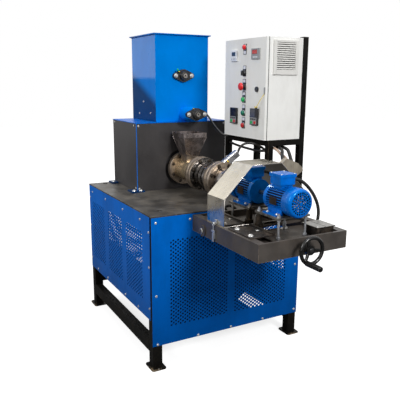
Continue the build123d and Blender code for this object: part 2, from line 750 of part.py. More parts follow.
# Cabinet stand of square tube
with BuildPart() as cabinet_frame:
    for x0, z1 in ((cab_frame_x0, cab_z0), (cab_frame_x1 - tube, cab_z0 + cab_h + 6)):
        for y0 in (cab_frame_y0, cab_frame_y1 - tube):
            box_between(x0, x0 + tube, y0, y0 + tube, table_h, z1)
    for y0 in (cab_frame_y0, cab_frame_y1 - tube):
        box_between(cab_frame_x0, cab_frame_x1, y0, y0 + tube, cab_z0 - tube, cab_z0)
    for x0 in (cab_frame_x0, cab_frame_x1 - tube):
        box_between(x0, x0 + tube, cab_frame_y0, cab_frame_y1, cab_z0 - tube, cab_z0)
save("cabinet_frame", cabinet_frame)

with BuildPart() as cabinet_body:
    box_between(cab_x0, cab_x0 + cab_w, cab_y0, cab_y0 + cab_l, cab_z0, cab_z0 + cab_h)
    box_between(door_x1 + seat, cab_x0, cab_y0 + seal_in, cab_y0 + cab_l - seal_in,
                cab_z0 + seal_in, cab_z0 + cab_h - seal_in)
save("cabinet_body", cabinet_body)

with BuildPart() as cabinet_door:
    box_between(door_x0, door_x1, cab_y0 - 1, cab_y0 + cab_l, cab_z0 + 1, cab_z0 + cab_h - 1)
save("cabinet_door", cabinet_door)

with BuildPart() as fan_filter:
    box_between(fan_x - fan_w / 2, fan_x + fan_w / 2, cab_y0 - fan_t, cab_y0, fan_z_top - fan_h, fan_z_top)
save("fan_filter", fan_filter)


def on_door(y, z, out=0.0):
    """Return the door face plane at a place, looking to the operator's left."""
    return Plane(origin=(door_x0 - out, y, z), x_dir=(0, -1, 0), z_dir=(-1, 0, 0))


# Small tag that hangs on the right keypad
with BuildPart() as door_tag:
    box_between(door_x0 - keypad_t - seat - tag_t, door_x0 - keypad_t - seat, tag_y - tag_w / 2,
                tag_y + tag_w / 2, tag_z_top - tag_h, tag_z_top)
save("door_tag", door_tag)

# Round push buttons and the lamp, each with a collar
caps = [(lamp_z, lamp_cap_t)] + [(z, button_cap_t) for z in button_heights]
with BuildPart() as push_buttons:
    for z, cap_t in caps:
        with BuildSketch(on_door(button_y, z)):
            Circle(button_d / 2)
        extrude(amount=button_collar_t)
        with BuildSketch(on_door(button_y, z, button_collar_t)):
            Circle(button_cap_d / 2)
        extrude(amount=cap_t)
save("push_buttons", push_buttons)

with BuildPart() as emergency_stop:
    with BuildSketch(on_door(button_y, stop_z)):
        Circle(button_d / 2)
    extrude(amount=stop_collar_t)
    with BuildSketch(on_door(button_y, stop_z, stop_collar_t)):
        Circle(stop_neck_d / 2)
    extrude(amount=stop_neck_t)
    with BuildSketch(on_door(button_y, stop_z, stop_collar_t + stop_neck_t - 2)):
        Circle(stop_head_d / 2)
    extrude(amount=stop_head_t)
save("emergency_stop", emergency_stop)

with BuildPart() as selector_switch:
    with BuildSketch(on_door(button_y, selector_z)):
        Circle(button_d / 2)
    extrude(amount=button_collar_t)
    with BuildSketch(on_door(button_y, selector_z, button_collar_t)):
        Circle(button_cap_d / 2)
    extrude(amount=button_collar_t)
    with BuildSketch(on_door(button_y, selector_z, 2 * button_collar_t)):
        Rectangle(knob_w, knob_len)
    extrude(amount=knob_t)
save("selector_switch", selector_switch)

with BuildPart() as legend_plates:
    for z in legend_heights:
        box_between(door_x0 - legend_t, door_x0, button_y - legend_w / 2, button_y + legend_w / 2,
                    z - legend_h / 2, z + legend_h / 2)
save("legend_plates", legend_plates)

# Rectangular devices: front and rear edge, then lowest and highest edge above the cabinet's floor
with BuildPart() as door_meters:
    for y0, y1, low, high, depth in ((-210, -150, 390, 448, meter_t), (-412, -342, 396, 448, controller_t)):
        box_between(door_x0 - depth, door_x0, y0, y1, cab_z0 + low, cab_z0 + high)
save("door_meters", door_meters)

with BuildPart() as drive_keypads:
    for y0, y1, low, high in ((-221, -160, 68, 151), (-412, -350, 72, 155)):
        box_between(door_x0 - keypad_t, door_x0, y0, y1, cab_z0 + low, cab_z0 + high)
save("drive_keypads", drive_keypads)

with BuildPart() as door_lock:
    with BuildSketch(on_door(lock_y, lock_z)):
        Circle(lock_d / 2)
    extrude(amount=lock_t)
save("door_lock", door_lock)


def save_cord(name, diameter, points):
    """Sweep a round cord along its route with the largest arcs that its runs allow, and write its file."""
    radii = []
    route = [Vector(x, y, table_h + height) for x, y, height in points]
    for before, corner, after in zip(route, route[1:], route[2:]):
        turn = (corner - before).get_angle(after - corner)
        shorter = min((corner - before).length, (after - corner).length)
        radii.append(0.45 * shorter / math.tan(math.radians(turn / 2)))
    with BuildPart() as cord:
        with BuildLine() as path:
            FilletPolyline(*route, radius=radii)
        line = path.wires()[0]
        with BuildSketch(Plane(origin=line @ 0, z_dir=line % 0)):
            Circle(diameter / 2)
        sweep()
    section = math.pi * diameter ** 2 / 4
    print(name, "length", round(line.length), "radii", [round(r) for r in radii],
          "volume ratio", round(cord.part.volume / (section * line.length), 4))
    save(name, cord)


# Cables and hoses that lie free, each from its gland to its far end; heights are above the table
hose_reach = hose_ring_x - gland_end_x + 1
hose_shares = [(0, 201), (25, 198), (56, 185), (88, 160.5), (116, 130), (139, 96), (153.5, 62), (158.5, 31),
               (156, 8), (154, -7)]
motor_hose_path = [(gland_end_x - 1 + out / 154 * hose_reach, hose_y, up) for out, up in hose_shares]
save_cord("motor_hose", 15, motor_hose_path)
feed_conduit_path = [(180, 130, 426), (181, 105, 414), (184, 78, 394), (187, 48, 368), (187, 10, 345),
                     (187, -28, 327), (192, -50, 317), (202, -64, 310), (214, -72, 304.5)]
save_cord("feed_conduit", 11, feed_conduit_path)
heater_cable_path = [(99, -351, 250), (105, -354, 268), (114, -361, 289), (133, -372, 301),
                     (160, -384, 302), (187, -392, 294), (214, -398, 281), (241, -400, 259),
                     (260, -401, 232), (272, -402, 200), (279, -402, 159), (284, -401, 106),
                     (288, -400, 49), (288, -400, 0)]
save_cord("heater_cable", 12, heater_cable_path)
beam_cable_path = [(224, -79, 274), (224, -110, 269), (223, -160, 264), (221, -220, 260),
                   (218, -285, 258), (215, -345, 257), (216, -395, 259), (221, -436, 266)]
save_cord("beam_cable", 13, beam_cable_path)
guard_hose_path = [(300, -322, 326), (298, -362, 300), (291, -415, 282), (272, -475, 280),
                   (240, -532, 283), (205, -585, 281), (160, -642, 276), (136, -676, 264),
                   (125, -698, 257), (120, -712, 254)]
save_cord("guard_hose", 16, guard_hose_path)
switch_hose_path = [(330, -330, 326), (328, -370, 300), (320, -422, 282), (302, -478, 280),
                    (275, -535, 280), (240, -590, 275), (208, -640, 266), (187, -676, 252),
                    (178, -698, 239), (174, -712, 230)]
save_cord("switch_hose", 16, switch_hose_path)
pale_conduit_path = [(262, -322, 325), (261, -362, 300), (256, -415, 283), (246, -468, 279),
                     (228, -520, 274), (209, -565, 265), (189, -610, 263), (170, -650, 264),
                     (155, -684, 256), (146, -712, 243)]
save_cord("pale_conduit", 13, pale_conduit_path)
tag_string_path = [(183, -457, 555), (173, -446, 530), (166, -432, 506), (164.7, -413, 481)]
save_cord("tag_string", 3, tag_string_path)
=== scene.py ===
"""Looks of a pet food extruder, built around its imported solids.

X points to the operator's right, Y to the rear and Z up, from the floor under the middle
of the table. Meshes, materials and lamps are in metres. Shapers, bolt heads and cords
take millimetres, in which the machine is drawn.
"""
from __future__ import annotations

import logging
import math
from dataclasses import dataclass, replace
from enum import Enum
from typing import Iterable, Sequence

import bmesh
import bpy
from bpy.types import Material, Mesh, Node, NodeSocket, NodeTree, Object
from mathutils import Matrix, Vector


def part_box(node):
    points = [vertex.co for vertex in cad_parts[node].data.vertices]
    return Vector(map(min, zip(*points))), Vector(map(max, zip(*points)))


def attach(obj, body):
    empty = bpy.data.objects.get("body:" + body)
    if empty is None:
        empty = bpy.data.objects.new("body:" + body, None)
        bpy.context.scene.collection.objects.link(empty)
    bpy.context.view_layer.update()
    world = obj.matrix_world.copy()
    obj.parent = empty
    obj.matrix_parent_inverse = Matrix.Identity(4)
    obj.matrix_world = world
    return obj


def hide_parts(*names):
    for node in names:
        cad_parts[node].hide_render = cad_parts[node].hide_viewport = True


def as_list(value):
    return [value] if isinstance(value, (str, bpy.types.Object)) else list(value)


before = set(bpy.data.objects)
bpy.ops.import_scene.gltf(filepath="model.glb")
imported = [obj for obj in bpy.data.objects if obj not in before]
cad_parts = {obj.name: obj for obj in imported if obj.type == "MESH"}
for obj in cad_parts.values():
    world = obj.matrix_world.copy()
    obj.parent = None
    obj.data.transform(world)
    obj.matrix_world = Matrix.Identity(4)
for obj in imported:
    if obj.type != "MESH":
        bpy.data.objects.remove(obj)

logging.basicConfig(level=logging.INFO, format="%(message)s")
LOG = logging.getLogger("extruder")
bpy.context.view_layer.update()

Color = tuple[float, float, float]
Triple = tuple[float, float, float]
UPWARD, FORWARD, BACKWARD = (0, 0, 1), (0, -1, 0), (0, 1, 0)
METRES = 0.001
WELD = 0.00002
HEAT_SCALE = 16.0
SCRATCH_ROUGHNESS = 0.15
COAT_ROUGHNESS = 0.12
FACE_DEPTH = 0.0006
GLOSS_EDGE = 0.012
# colour towards which the painted shade darkens blue paint
SHADE_BLUE = (0.0, 0.006, 0.03)


def tone(red: int, green: int, blue: int) -> Color:
    """Turn a colour as it shows on a screen into the linear colour that shaders take.

    Args:
        red: Red from 0 to 255.
        green: Green from 0 to 255.
        blue: Blue from 0 to 255.

    Returns:
        The three linear values.
    """
    return tuple(((c / 255 + 0.055) / 1.055) ** 2.4 if c > 10 else c / 255 / 12.92 for c in (red, green, blue))


def mm(*values: float) -> tuple[float, ...]:
    """Return the values, given in millimetres, in metres."""
    return tuple(v / 1000 for v in values)


class Body(Enum):
    """The bodies of the machine that pieces ride on."""

    MACHINE = "machine"
    DOOR = "door"
    WHEEL = "wheel"


class Facing(Enum):
    """The way a flat piece or a bolt head looks, as Euler angles that turn +Z to it."""

    UP = (0.0, 0.0, 0.0)
    FRONT = (math.pi / 2, 0.0, 0.0)
    REAR = (math.pi / 2, 0.0, math.pi)
    LEFT = (math.pi / 2, 0.0, -math.pi / 2)
    RIGHT = (math.pi / 2, 0.0, math.pi / 2)


class Head(Enum):
    """Kinds of bolt and screw heads: sides of the head, and washer to head radius."""

    PAN = (16, 1.25)
    HEX = (6, 1.3)


class Lay(Enum):
    """What a cord is, for its make: smooth cable or corrugated hose."""

    CABLE = "cable"
    HOSE = "hose"


def circle(count: int, radius: float, turn: float = 0.0) -> list[tuple[float, float]]:
    """Return even places on a circle, the first one turned by a share of the step."""
    angles = [2 * math.pi * (k + turn) / count for k in range(count)]
    return [(radius * math.cos(angle), radius * math.sin(angle)) for angle in angles]


class Board:
    """Places nodes on a node tree and wires them."""

    def __init__(self, tree: NodeTree) -> None:
        """Keep the tree that nodes go on."""
        self.tree = tree

    def add(self, kind: str, inputs: dict | None = None, **settings: object) -> Node:
        """Add a node and fill its inputs.

        Args:
            kind: The node's type name.
            inputs: Values, sockets or nodes for its inputs, by name or index.
            settings: Properties of the node itself.

        Returns:
            The new node.
        """
        node = self.tree.nodes.new(kind)
        for key, value in settings.items():
            setattr(node, key, value)
        for key, value in (inputs or {}).items():
            self.feed(node.inputs[key], value)
        return node

    def feed(self, socket: NodeSocket, value: object) -> None:
        """Wire a socket or node into a socket, or set its value.

        Args:
            socket: The input to fill.
            value: A socket, a node whose first output is meant, a colour or a plain value.
        """
        if isinstance(value, Node):
            value = value.outputs[0]
        if isinstance(value, NodeSocket):
            self.tree.links.new(value, socket)
        elif isinstance(value, tuple) and len(value) == 3 and socket.type == "RGBA":
            socket.default_value = (*value, 1.0)
        else:
            socket.default_value = value

    def math(self, operation: str, a: object, b: object = 0.0, clamp: bool = False) -> NodeSocket:
        """Return the result of a maths node on one or two values."""
        kind = "ShaderNodeMath"
        return self.add(kind, {0: a, 1: b}, operation=operation, use_clamp=clamp).outputs[0]

    def vector(self, operation: str, a: object, b: object = (0.0, 0.0, 0.0)) -> NodeSocket:
        """Return the result of a vector maths node on two vectors."""
        return self.add("ShaderNodeVectorMath", {0: a, 1: b}, operation=operation).outputs[0]

    def blend(self, share: object, a: object, b: object) -> NodeSocket:
        """Return a colour between two colours."""
        return self.add("ShaderNodeMix", {0: share, 6: a, 7: b}, data_type="RGBA").outputs[2]

    def between(self, share: object, a: object, b: object) -> NodeSocket:
        """Return a number between two numbers."""
        return self.add("ShaderNodeMix", {0: share, 2: a, 3: b}, data_type="FLOAT").outputs[0]

    def spread(self, value: object, low: float, high: float, out_low: float = 0.0, out_high: float = 1.0,
               smooth: bool = True) -> NodeSocket:
        """Return a value mapped from one range to another and held inside it."""
        return self.add("ShaderNodeMapRange", {0: value, 1: low, 2: high, 3: out_low, 4: out_high}, clamp=True,
                        interpolation_type="SMOOTHSTEP" if smooth else "LINEAR").outputs[0]

    def noise(self, vector: object, scale: object, detail: float = 2.0, rough: float = 0.5) -> NodeSocket:
        """Return a noise value at a place."""
        kind = "ShaderNodeTexNoise"
        return self.add(kind, {"Vector": vector, "Scale": scale, "Detail": detail, "Roughness": rough}).outputs[0]

    def times(self, a: object, b: object) -> NodeSocket:
        """Return the product of two values."""
        return self.math("MULTIPLY", a, b)

    def combine(self, x: object = 0.0, y: object = 0.0, z: object = 0.0) -> NodeSocket:
        """Return a vector from its three values."""
        return self.add("ShaderNodeCombineXYZ", {0: x, 1: y, 2: z}).outputs[0]

    def group(self, effect: str, **inputs: object) -> dict[str, NodeSocket]:
        """Place a shared effect.

        Args:
            effect: Name of the effect in Effects.
            inputs: Values of its inputs, with _ for a space in a name.

        Returns:
            The effect's outputs by name.
        """
        node = self.add("ShaderNodeGroup", {key.replace("_", " "): value for key, value in inputs.items()},
                        node_tree=Effects.get(effect))
        return {socket.name: socket for socket in node.outputs}

    def join(self, *parts: Node) -> Node:
        """Join geometries.

        Args:
            parts: The nodes that put them out.

        Returns:
            The joining node.
        """
        both = self.add("GeometryNodeJoinGeometry")
        for part in parts:
            self.tree.links.new(part.outputs[0], both.inputs[0])
        return both

    def copies(self, points: object, instance: object) -> Node:
        """Return a node with real copies of a geometry at points."""
        put = self.add("GeometryNodeInstanceOnPoints", {"Points": points, "Instance": instance})
        return self.add("GeometryNodeRealizeInstances", {0: put})

    def plate(self, outline: object, ins: dict[str, NodeSocket]) -> Node:
        """Fill an outline and its holes, and give the face its thickness and place.

        Args:
            outline: The closed curves.
            ins: The tree's inputs, with Thickness, Place and Turn among them.

        Returns:
            The node with the closed plate.
        """
        face = self.add("GeometryNodeFillCurve", {0: outline})
        top = self.add("GeometryNodeExtrudeMesh", {"Mesh": face, "Offset": (0.0, 0.0, 1.0),
                                                   "Offset Scale": ins["Thickness"], "Individual": False})
        closed = self.join(top, self.add("GeometryNodeFlipFaces", {0: face}))
        whole = self.add("GeometryNodeMergeByDistance", {0: closed, "Distance": WELD})
        return self.add("GeometryNodeTransform", {"Geometry": whole, "Translation": ins["Place"],
                                                  "Rotation": ins["Turn"]})


def new_tree(name: str, kind: str, inputs: dict[str, str], outputs: dict[str, str]) -> tuple[Board, object, object]:
    """Make a node group with named sockets.

    Args:
        name: The group's name.
        kind: ShaderNodeTree or GeometryNodeTree.
        inputs: Socket types by input name.
        outputs: Socket types by output name.

    Returns:
        The board, the group's input node and its output node.
    """
    tree = bpy.data.node_groups.new(name, kind)
    for way, sockets in (("INPUT", inputs), ("OUTPUT", outputs)):
        for label, socket in sockets.items():
            tree.interface.new_socket(label, in_out=way, socket_type=f"NodeSocket{socket}")
    board = Board(tree)
    return board, board.add("NodeGroupInput"), board.add("NodeGroupOutput")


class Effects:
    """Shared surface effects, each a shader node group that is made once."""

    made: dict[str, NodeTree] = {}

    @classmethod
    def get(cls, name: str) -> NodeTree:
        """Find an effect's group, and make it the first time.

        Args:
            name: The effect's name.

        Returns:
            The group.
        """
        if name not in cls.made:
            cls.made[name] = getattr(cls, name)()
        return cls.made[name]

    @staticmethod
    def grain() -> NodeTree:
        """Make fine bumps of a sprayed coat, and slow changes of its tone.

        Returns:
            The tree.
        """
        board, here, out = new_tree("coat_grain", "ShaderNodeTree",
                                    {"Vector": "Vector", "Scale": "Float", "Mottle scale": "Float"},
                                    {"Height": "Float", "Mottle": "Float"})
        board.feed(out.inputs[0], board.noise(here.outputs[0], here.outputs[1], 3.0, 0.6))
        slow = board.noise(here.outputs[0], here.outputs[2], 4.0, 0.62)
        board.feed(out.inputs[1], board.spread(slow, 0.3, 0.7))
        return board.tree

    @staticmethod
    def edges() -> NodeTree:
        """Make a mask along the edges of a box that is given by its two corners, for rubbed edges and for painted edge
        highlights.

        Returns:
            The tree.
        """
        board, here, out = new_tree("edge_rub_and_glint", "ShaderNodeTree",
                                    {"Vector": "Vector", "Low": "Vector", "High": "Vector", "Width": "Float",
                                     "Breakup": "Float"}, {"Mask": "Float"})
        low = board.vector("ABSOLUTE", board.vector("SUBTRACT", here.outputs[0], here.outputs[1]))
        high = board.vector("ABSOLUTE", board.vector("SUBTRACT", here.outputs[2], here.outputs[0]))
        near = board.add("ShaderNodeSeparateXYZ", {0: board.vector("MINIMUM", low, high)})
        x, y, z = near.outputs
        smaller = board.math("MINIMUM", x, y)
        larger = board.math("MAXIMUM", x, y)
        second = board.math("MINIMUM", larger, board.math("MAXIMUM", smaller, z))
        chips = board.noise(here.outputs[0], here.outputs[4], 5.0, 0.7)
        reach = board.times(here.outputs[3], board.spread(chips, 0.38, 0.72, 0.15, 2.4))
        board.feed(out.inputs[0], board.math("SUBTRACT", 1.0, board.math("DIVIDE", second, reach), clamp=True))
        return board.tree

    @staticmethod
    def grime() -> NodeTree:
        """Make patches and runs of dust and grease, stretched along Z by the streak value.

        Returns:
            The tree.
        """
        board, here, out = new_tree("grime", "ShaderNodeTree",
                                    {"Vector": "Vector", "Scale": "Float", "Streak": "Float"}, {"Mask": "Float"})
        squeeze = board.combine(1.0, 1.0, board.math("DIVIDE", 1.0, here.outputs[2]))
        place = board.vector("MULTIPLY", here.outputs[0], squeeze)
        big = board.noise(place, here.outputs[1], 5.0, 0.65)
        fine = board.noise(place, board.times(here.outputs[1], 7.0), 3.0, 0.7)
        both = board.math("ADD", board.times(big, 0.75), board.times(fine, 0.25))
        board.feed(out.inputs[0], board.spread(both, 0.42, 0.66))
        return board.tree

    @staticmethod
    def lines() -> NodeTree:
        """Make fine lines of brushing or rolling, long where the stretch vector is small.

        Returns:
            The tree.
        """
        board, here, out = new_tree("brushed_lines", "ShaderNodeTree",
                                    {"Vector": "Vector", "Stretch": "Vector", "Scale": "Float"},
                                    {"Lines": "Float", "Scratches": "Float"})
        place = board.vector("MULTIPLY", here.outputs[0], here.outputs[1])
        board.feed(out.inputs[0], board.noise(place, here.outputs[2], 4.0, 0.75))
        rare = board.noise(place, board.times(here.outputs[2], 0.35), 2.0, 0.6)
        board.feed(out.inputs[1], board.spread(rare, 0.62, 0.72))
        return board.tree

    @staticmethod
    def heat() -> NodeTree:
        """Make straw, brown and blue tints that heat leaves on bare steel.

        Returns:
            The tree.
        """
        board, here, out = new_tree("heat_tint", "ShaderNodeTree",
                                    {"Vector": "Vector", "Scale": "Float"}, {"Color": "Color"})
        patch = board.noise(here.outputs[0], here.outputs[1], 4.0, 0.6)
        ramp = board.add("ShaderNodeValToRGB", {0: patch})
        stops = ramp.color_ramp.elements
        for at, shade in ((0.25, tone(150, 132, 112)), (0.42, tone(168, 134, 84)), (0.54, tone(112, 82, 60)),
                          (0.64, tone(92, 84, 92)), (0.8, tone(150, 140, 130))):
            stop = stops.new(at)
            stop.color = (*shade, 1.0)
        stops.remove(stops[0])
        stops.remove(stops[len(stops) - 1])
        board.feed(out.inputs[0], ramp.outputs[0])
        return board.tree


@dataclass(frozen=True)
class Grain:
    """Bumps of a coat: how fine, how deep in metres, and how much the tone wanders."""

    scale: float = 900.0
    depth: float = 0.00006
    mottle: float = 0.18
    mottle_scale: float = 9.0


@dataclass(frozen=True)
class RubAndGlint:
    """Bare or rubbed edges of a box-like piece, and on some finishes a painted highlight along its edges."""

    color: Color
    width: float = 0.002
    breakup: float = 45.0
    roughness: float = 0.5
    strength: float = 0.8


@dataclass(frozen=True)
class Grime:
    """Dust or grease that lies over the finish."""

    color: Color
    amount: float = 0.35
    scale: float = 7.0
    streak: float = 1.0
    roughness: float = 0.65


@dataclass(frozen=True)
class Brush:
    """Lines of brushing, rolling or turning."""

    stretch: Triple = (0.03, 1.0, 1.0)
    scale: float = 260.0
    depth: float = 0.00004
    contrast: float = 0.25


@dataclass(frozen=True)
class PaintedShade:
    """Painted shade: paint darkened low on a piece, on faces left of a limit, standing in for light that falls off
    there and for dark reflections.

    The dark share falls to nothing between the low and high levels, which slope with Y. Above
    its own level the paint has the gloss of a clear coat.
    """

    low: float
    high: float
    share: float
    slope: float = 0.0
    left_of: float = 9.0
    gloss: float = 0.0
    level: float = 0.0


@dataclass(frozen=True)
class Finish:
    """One finish of the machine and how its material is made."""

    name: str
    color: Color
    slot: str
    roughness: float = 0.4
    metallic: float = 0.0
    coat: float = 0.0
    swing: float = 0.12
    grain: Grain | None = None
    wear: RubAndGlint | None = None
    grime: Grime | None = None
    brush: Brush | None = None
    heat: float = 0.0
    glow: float = 0.0
    shine: float = 0.5
    polished_face: float | None = None
    fade: PaintedShade | None = None
    gloss_tint: Color = (1.0, 1.0, 1.0)

    def material(self, low: Vector | None = None, high: Vector | None = None) -> Material:
        """Make the material, or return it if a piece with the same box has it already.

        Args:
            low: Lowest corner of the box whose edges are rubbed or carry a painted highlight.
            high: Highest corner of that box.

        Returns:
            The material.
        """
        name = f"{self.name}_finish"
        if self.wear and low is not None:
            name = f"{name}_{sum(low) + 3 * sum(high):.3f}"
        if name in bpy.data.materials:
            return bpy.data.materials[name]
        made = bpy.data.materials.new(name)
        made.use_nodes = True
        board = Board(made.node_tree)
        shader = made.node_tree.nodes["Principled BSDF"]
        shader.inputs["Metallic"].default_value = self.metallic
        shader.inputs["Coat Weight"].default_value = self.coat
        shader.inputs["Coat Roughness"].default_value = COAT_ROUGHNESS
        shader.inputs["Specular IOR Level"].default_value = self.shine
        shader.inputs["Specular Tint"].default_value = (*self.gloss_tint, 1.0)
        place = board.add("ShaderNodeTexCoord").outputs["Object"]
        color, rough, height, gloss = self.layers(board, place, low, high)
        if gloss is not None:
            board.feed(shader.inputs["Coat Weight"], gloss)
        board.feed(shader.inputs["Base Color"], color)
        board.feed(shader.inputs["Roughness"], rough)
        if height is not None:
            bump = board.add("ShaderNodeBump", {"Height": height, "Distance": 1.0, "Strength": 1.0})
            board.feed(shader.inputs["Normal"], bump)
        if self.glow:
            board.feed(shader.inputs["Emission Color"], color)
            shader.inputs["Emission Strength"].default_value = self.glow
        return made

    def layers(self, board: Board, place: object, low: Vector | None, high: Vector | None) -> tuple:
        """Build the layers of the finish.

        Args:
            board: The board of the material.
            place: The socket with the place on the piece.
            low: Lowest corner of the box whose edges are rubbed or carry a painted highlight.
            high: Highest corner of that box.

        Returns:
            The colour, roughness, height and coat weight sockets; the last two may be None.
        """
        grain = self.grain or Grain(depth=0.0, mottle=0.1)
        coat = board.group("grain", Vector=place, Scale=grain.scale, Mottle_scale=grain.mottle_scale)
        mottle = coat["Mottle"]
        dark = tuple(c * (1 - grain.mottle) for c in self.color)
        light = tuple(min(1.0, c * (1 + grain.mottle)) for c in self.color)
        color = board.blend(mottle, dark, light)
        rough = board.between(mottle, max(0.02, self.roughness - self.swing / 2), self.roughness + self.swing / 2)
        height = board.times(coat["Height"], grain.depth) if grain.depth else None
        if self.heat:
            color = board.blend(self.heat, color, board.group("heat", Vector=place, Scale=HEAT_SCALE)["Color"])
        if self.brush:
            lines = board.group("lines", Vector=place, Stretch=self.brush.stretch, Scale=self.brush.scale)
            shade = board.spread(lines["Lines"], 0.3, 0.7, 1 - self.brush.contrast, 1.0, smooth=False)
            grey = board.add("ShaderNodeCombineColor", {0: shade, 1: shade, 2: shade})
            color = board.add("ShaderNodeMix", {0: 1.0, 6: color, 7: grey}, data_type="RGBA",
                              blend_type="MULTIPLY").outputs[2]
            rough = board.math("ADD", rough, board.times(lines["Scratches"], SCRATCH_ROUGHNESS), clamp=True)
            groove = board.times(lines["Lines"], self.brush.depth)
            height = groove if height is None else board.math("ADD", height, groove)
        if self.grime:
            dirt = board.group("grime", Vector=place, Scale=self.grime.scale, Streak=self.grime.streak)
            share = board.times(dirt["Mask"], self.grime.amount)
            color = board.blend(share, color, self.grime.color)
            rough = board.between(share, rough, self.grime.roughness)
        if self.wear and low is not None:
            rub_and_glint_mask = board.group("edges", Vector=place, Low=tuple(low), High=tuple(high), Width=self.wear.width,
                               Breakup=self.wear.breakup)
            share = board.times(rub_and_glint_mask["Mask"], self.wear.strength)
            color = board.blend(share, color, self.wear.color)
            rough = board.between(share, rough, self.wear.roughness)
        gloss = None
        if self.fade:
            color, gloss = self.faded(board, place, color)
        if self.polished_face is not None:
            y = board.add("ShaderNodeSeparateXYZ", {0: place}).outputs[1]
            away = board.math("ABSOLUTE", board.math("SUBTRACT", y, self.polished_face))
            face = board.math("LESS_THAN", away, FACE_DEPTH)
            rough = board.between(face, rough, board.between(mottle, 0.02, 0.07))
            color = board.blend(face, color, board.blend(mottle, tone(176, 168, 158), tone(208, 204, 198)))
            height = board.times(height, board.math("SUBTRACT", 1.0, face)) if height else None
        return color, rough, height, gloss

    def faded(self, board: Board, place: object, color: object) -> tuple:
        """Paint shade onto the colour, as the painted shade says.

        Args:
            board: The board of the material.
            place: The socket with the place on the piece.
            color: The colour so far.

        Returns:
            The new colour and the coat weight, or None where the painted shade has no gloss.
        """
        fade = self.fade
        x, y, z = board.add("ShaderNodeSeparateXYZ", {0: place}).outputs
        level = board.math("SUBTRACT", z, board.times(y, fade.slope))
        there = board.math("LESS_THAN", x, fade.left_of)
        share = board.spread(level, fade.low, fade.high, fade.share, 0.0)
        color = board.blend(board.times(share, there), color, SHADE_BLUE)
        if not fade.gloss:
            return color, None
        clear = board.spread(z, fade.level - GLOSS_EDGE, fade.level + GLOSS_EDGE, 0.0, fade.gloss)
        return color, board.times(clear, there)


BLUE_GLOSS = (0.0, 0.45, 1.0)
# painted shade: the blue sheets darken towards the floor, standing in for light that falls off lower down
BLUE_SHEET = Finish("blue_sheet", tone(0, 105, 206), "blue_sheet", 0.34, coat=0.02, shine=0.2, gloss_tint=BLUE_GLOSS,
    grain=Grain(700, 0.00008, 0.1, 4), grime=Grime(tone(6, 66, 124), 0.25, 5.0, 3.0), fade=PaintedShade(0.08, 0.72, 0.46))
LUG_BLUE = Finish("lug_blue", tone(4, 50, 98), "blue_sheet", 0.4, shine=0.2, gloss_tint=BLUE_GLOSS,
    grain=Grain(700, 0.00008, 0.3, 30), grime=Grime(tone(30, 28, 26), 0.6, 30.0))
# painted shade: the hopper's left face is darker low down, standing in for shade and a dark reflection there
HOPPER_BLUE = Finish("hopper_blue", tone(0, 129, 224), "hopper_blue", 0.27, shine=0.02, gloss_tint=BLUE_GLOSS,
    grain=Grain(700, 0.00006, 0.06, 3), grime=Grime(tone(0, 92, 178), 0.25, 3.0, 2.0),
    fade=PaintedShade(1.16, 1.24, 0.8, 0.45, -0.1385, 0.75, 1.39))
FRAME_BLACK = Finish("frame_black", tone(12, 12, 11), "frame_black", 0.45, shine=0.1,
    grain=Grain(800, 0.00008, 0.2, 12), grime=Grime(tone(70, 60, 48), 0.1, 14.0),
    wear=RubAndGlint(tone(120, 104, 84), 0.0016, 40.0, 0.6, 0.55))
LEG_BLACK = replace(FRAME_BLACK, name="leg_black", wear=RubAndGlint(tone(150, 132, 108), 0.009, 40.0, 0.6, 0.85))
HOUSING_BLACK = Finish("housing_black", tone(56, 54, 55), "housing_black", 0.42, shine=0.35,
    grain=Grain(900, 0.00012, 0.16, 5), grime=Grime(tone(74, 70, 68), 0.3, 4.0, 3.0),
    wear=RubAndGlint(tone(96, 92, 90), 0.0012, 40.0, 0.5, 0.5))
TABLE_STEEL = Finish("table_steel", tone(76, 73, 69), "worn_plate", 0.4, metallic=0.25, swing=0.24, shine=0.4,
    grain=Grain(500, 0.0001, 0.35, 8), brush=Brush((0.12, 1.0, 1.0), 120.0, 0.00006, 0.35),
    grime=Grime(tone(120, 113, 103), 0.45, 11.0), wear=RubAndGlint(tone(16, 14, 13), 0.003, 30.0, 0.6, 0.8))
TRAY_BLACK = Finish("tray_black", tone(69, 64, 60), "tray_black", 0.4, swing=0.16, shine=0.45,
    grain=Grain(700, 0.0001, 0.2, 9), grime=Grime(tone(88, 76, 64), 0.28, 8.0, 1.5),
    wear=RubAndGlint(tone(140, 126, 112), 0.0016, 60.0, 0.45, 0.75))
DECK_STEEL = Finish("deck_steel", tone(31, 29, 28), "tray_black", 0.35, metallic=0.4, swing=0.25,
    grain=Grain(600, 0.0001, 0.35, 14), grime=Grime(tone(112, 98, 84), 0.4, 22.0))
COVER_GREY = Finish("cover_grey", tone(156, 155, 151), "tray_black", 0.4, metallic=0.1, swing=0.2,
    grain=Grain(600, 0.0001, 0.15, 14), grime=Grime(tone(96, 88, 80), 0.3, 22.0))
CAST_BLACK = Finish("cast_black", tone(24, 24, 25), "bearing_black", 0.38, coat=0.1, grain=Grain(420, 0.0003, 0.25, 20),
    grime=Grime(tone(80, 76, 70), 0.2, 26.0))
BRIGHT_STEEL = Finish("bright_steel", tone(184, 178, 172), "bright_steel", 0.26, metallic=1.0,
    brush=Brush((1.0, 0.05, 1.0), 300.0, 0.00003, 0.3))
BOLT_STEEL = Finish("bolt_steel", tone(214, 214, 212), "zinc", 0.3, metallic=0.55, grain=Grain(600, 0.00005, 0.2, 60),
    grime=Grime(tone(110, 98, 84), 0.2, 60.0))
DARK_BOLT = Finish("dark_bolt", tone(50, 45, 40), "barrel_steel", 0.42, metallic=0.7, grain=Grain(600, 0.0001, 0.3, 60),
    grime=Grime(tone(104, 84, 62), 0.35, 50.0))
ZINC = Finish("zinc", tone(190, 193, 198), "zinc", 0.3, metallic=0.55, grain=Grain(500, 0.00006, 0.2, 30),
    brush=Brush((1.0, 1.0, 0.06), 300.0, 0.00004, 0.2), grime=Grime(tone(110, 104, 96), 0.25, 25.0))
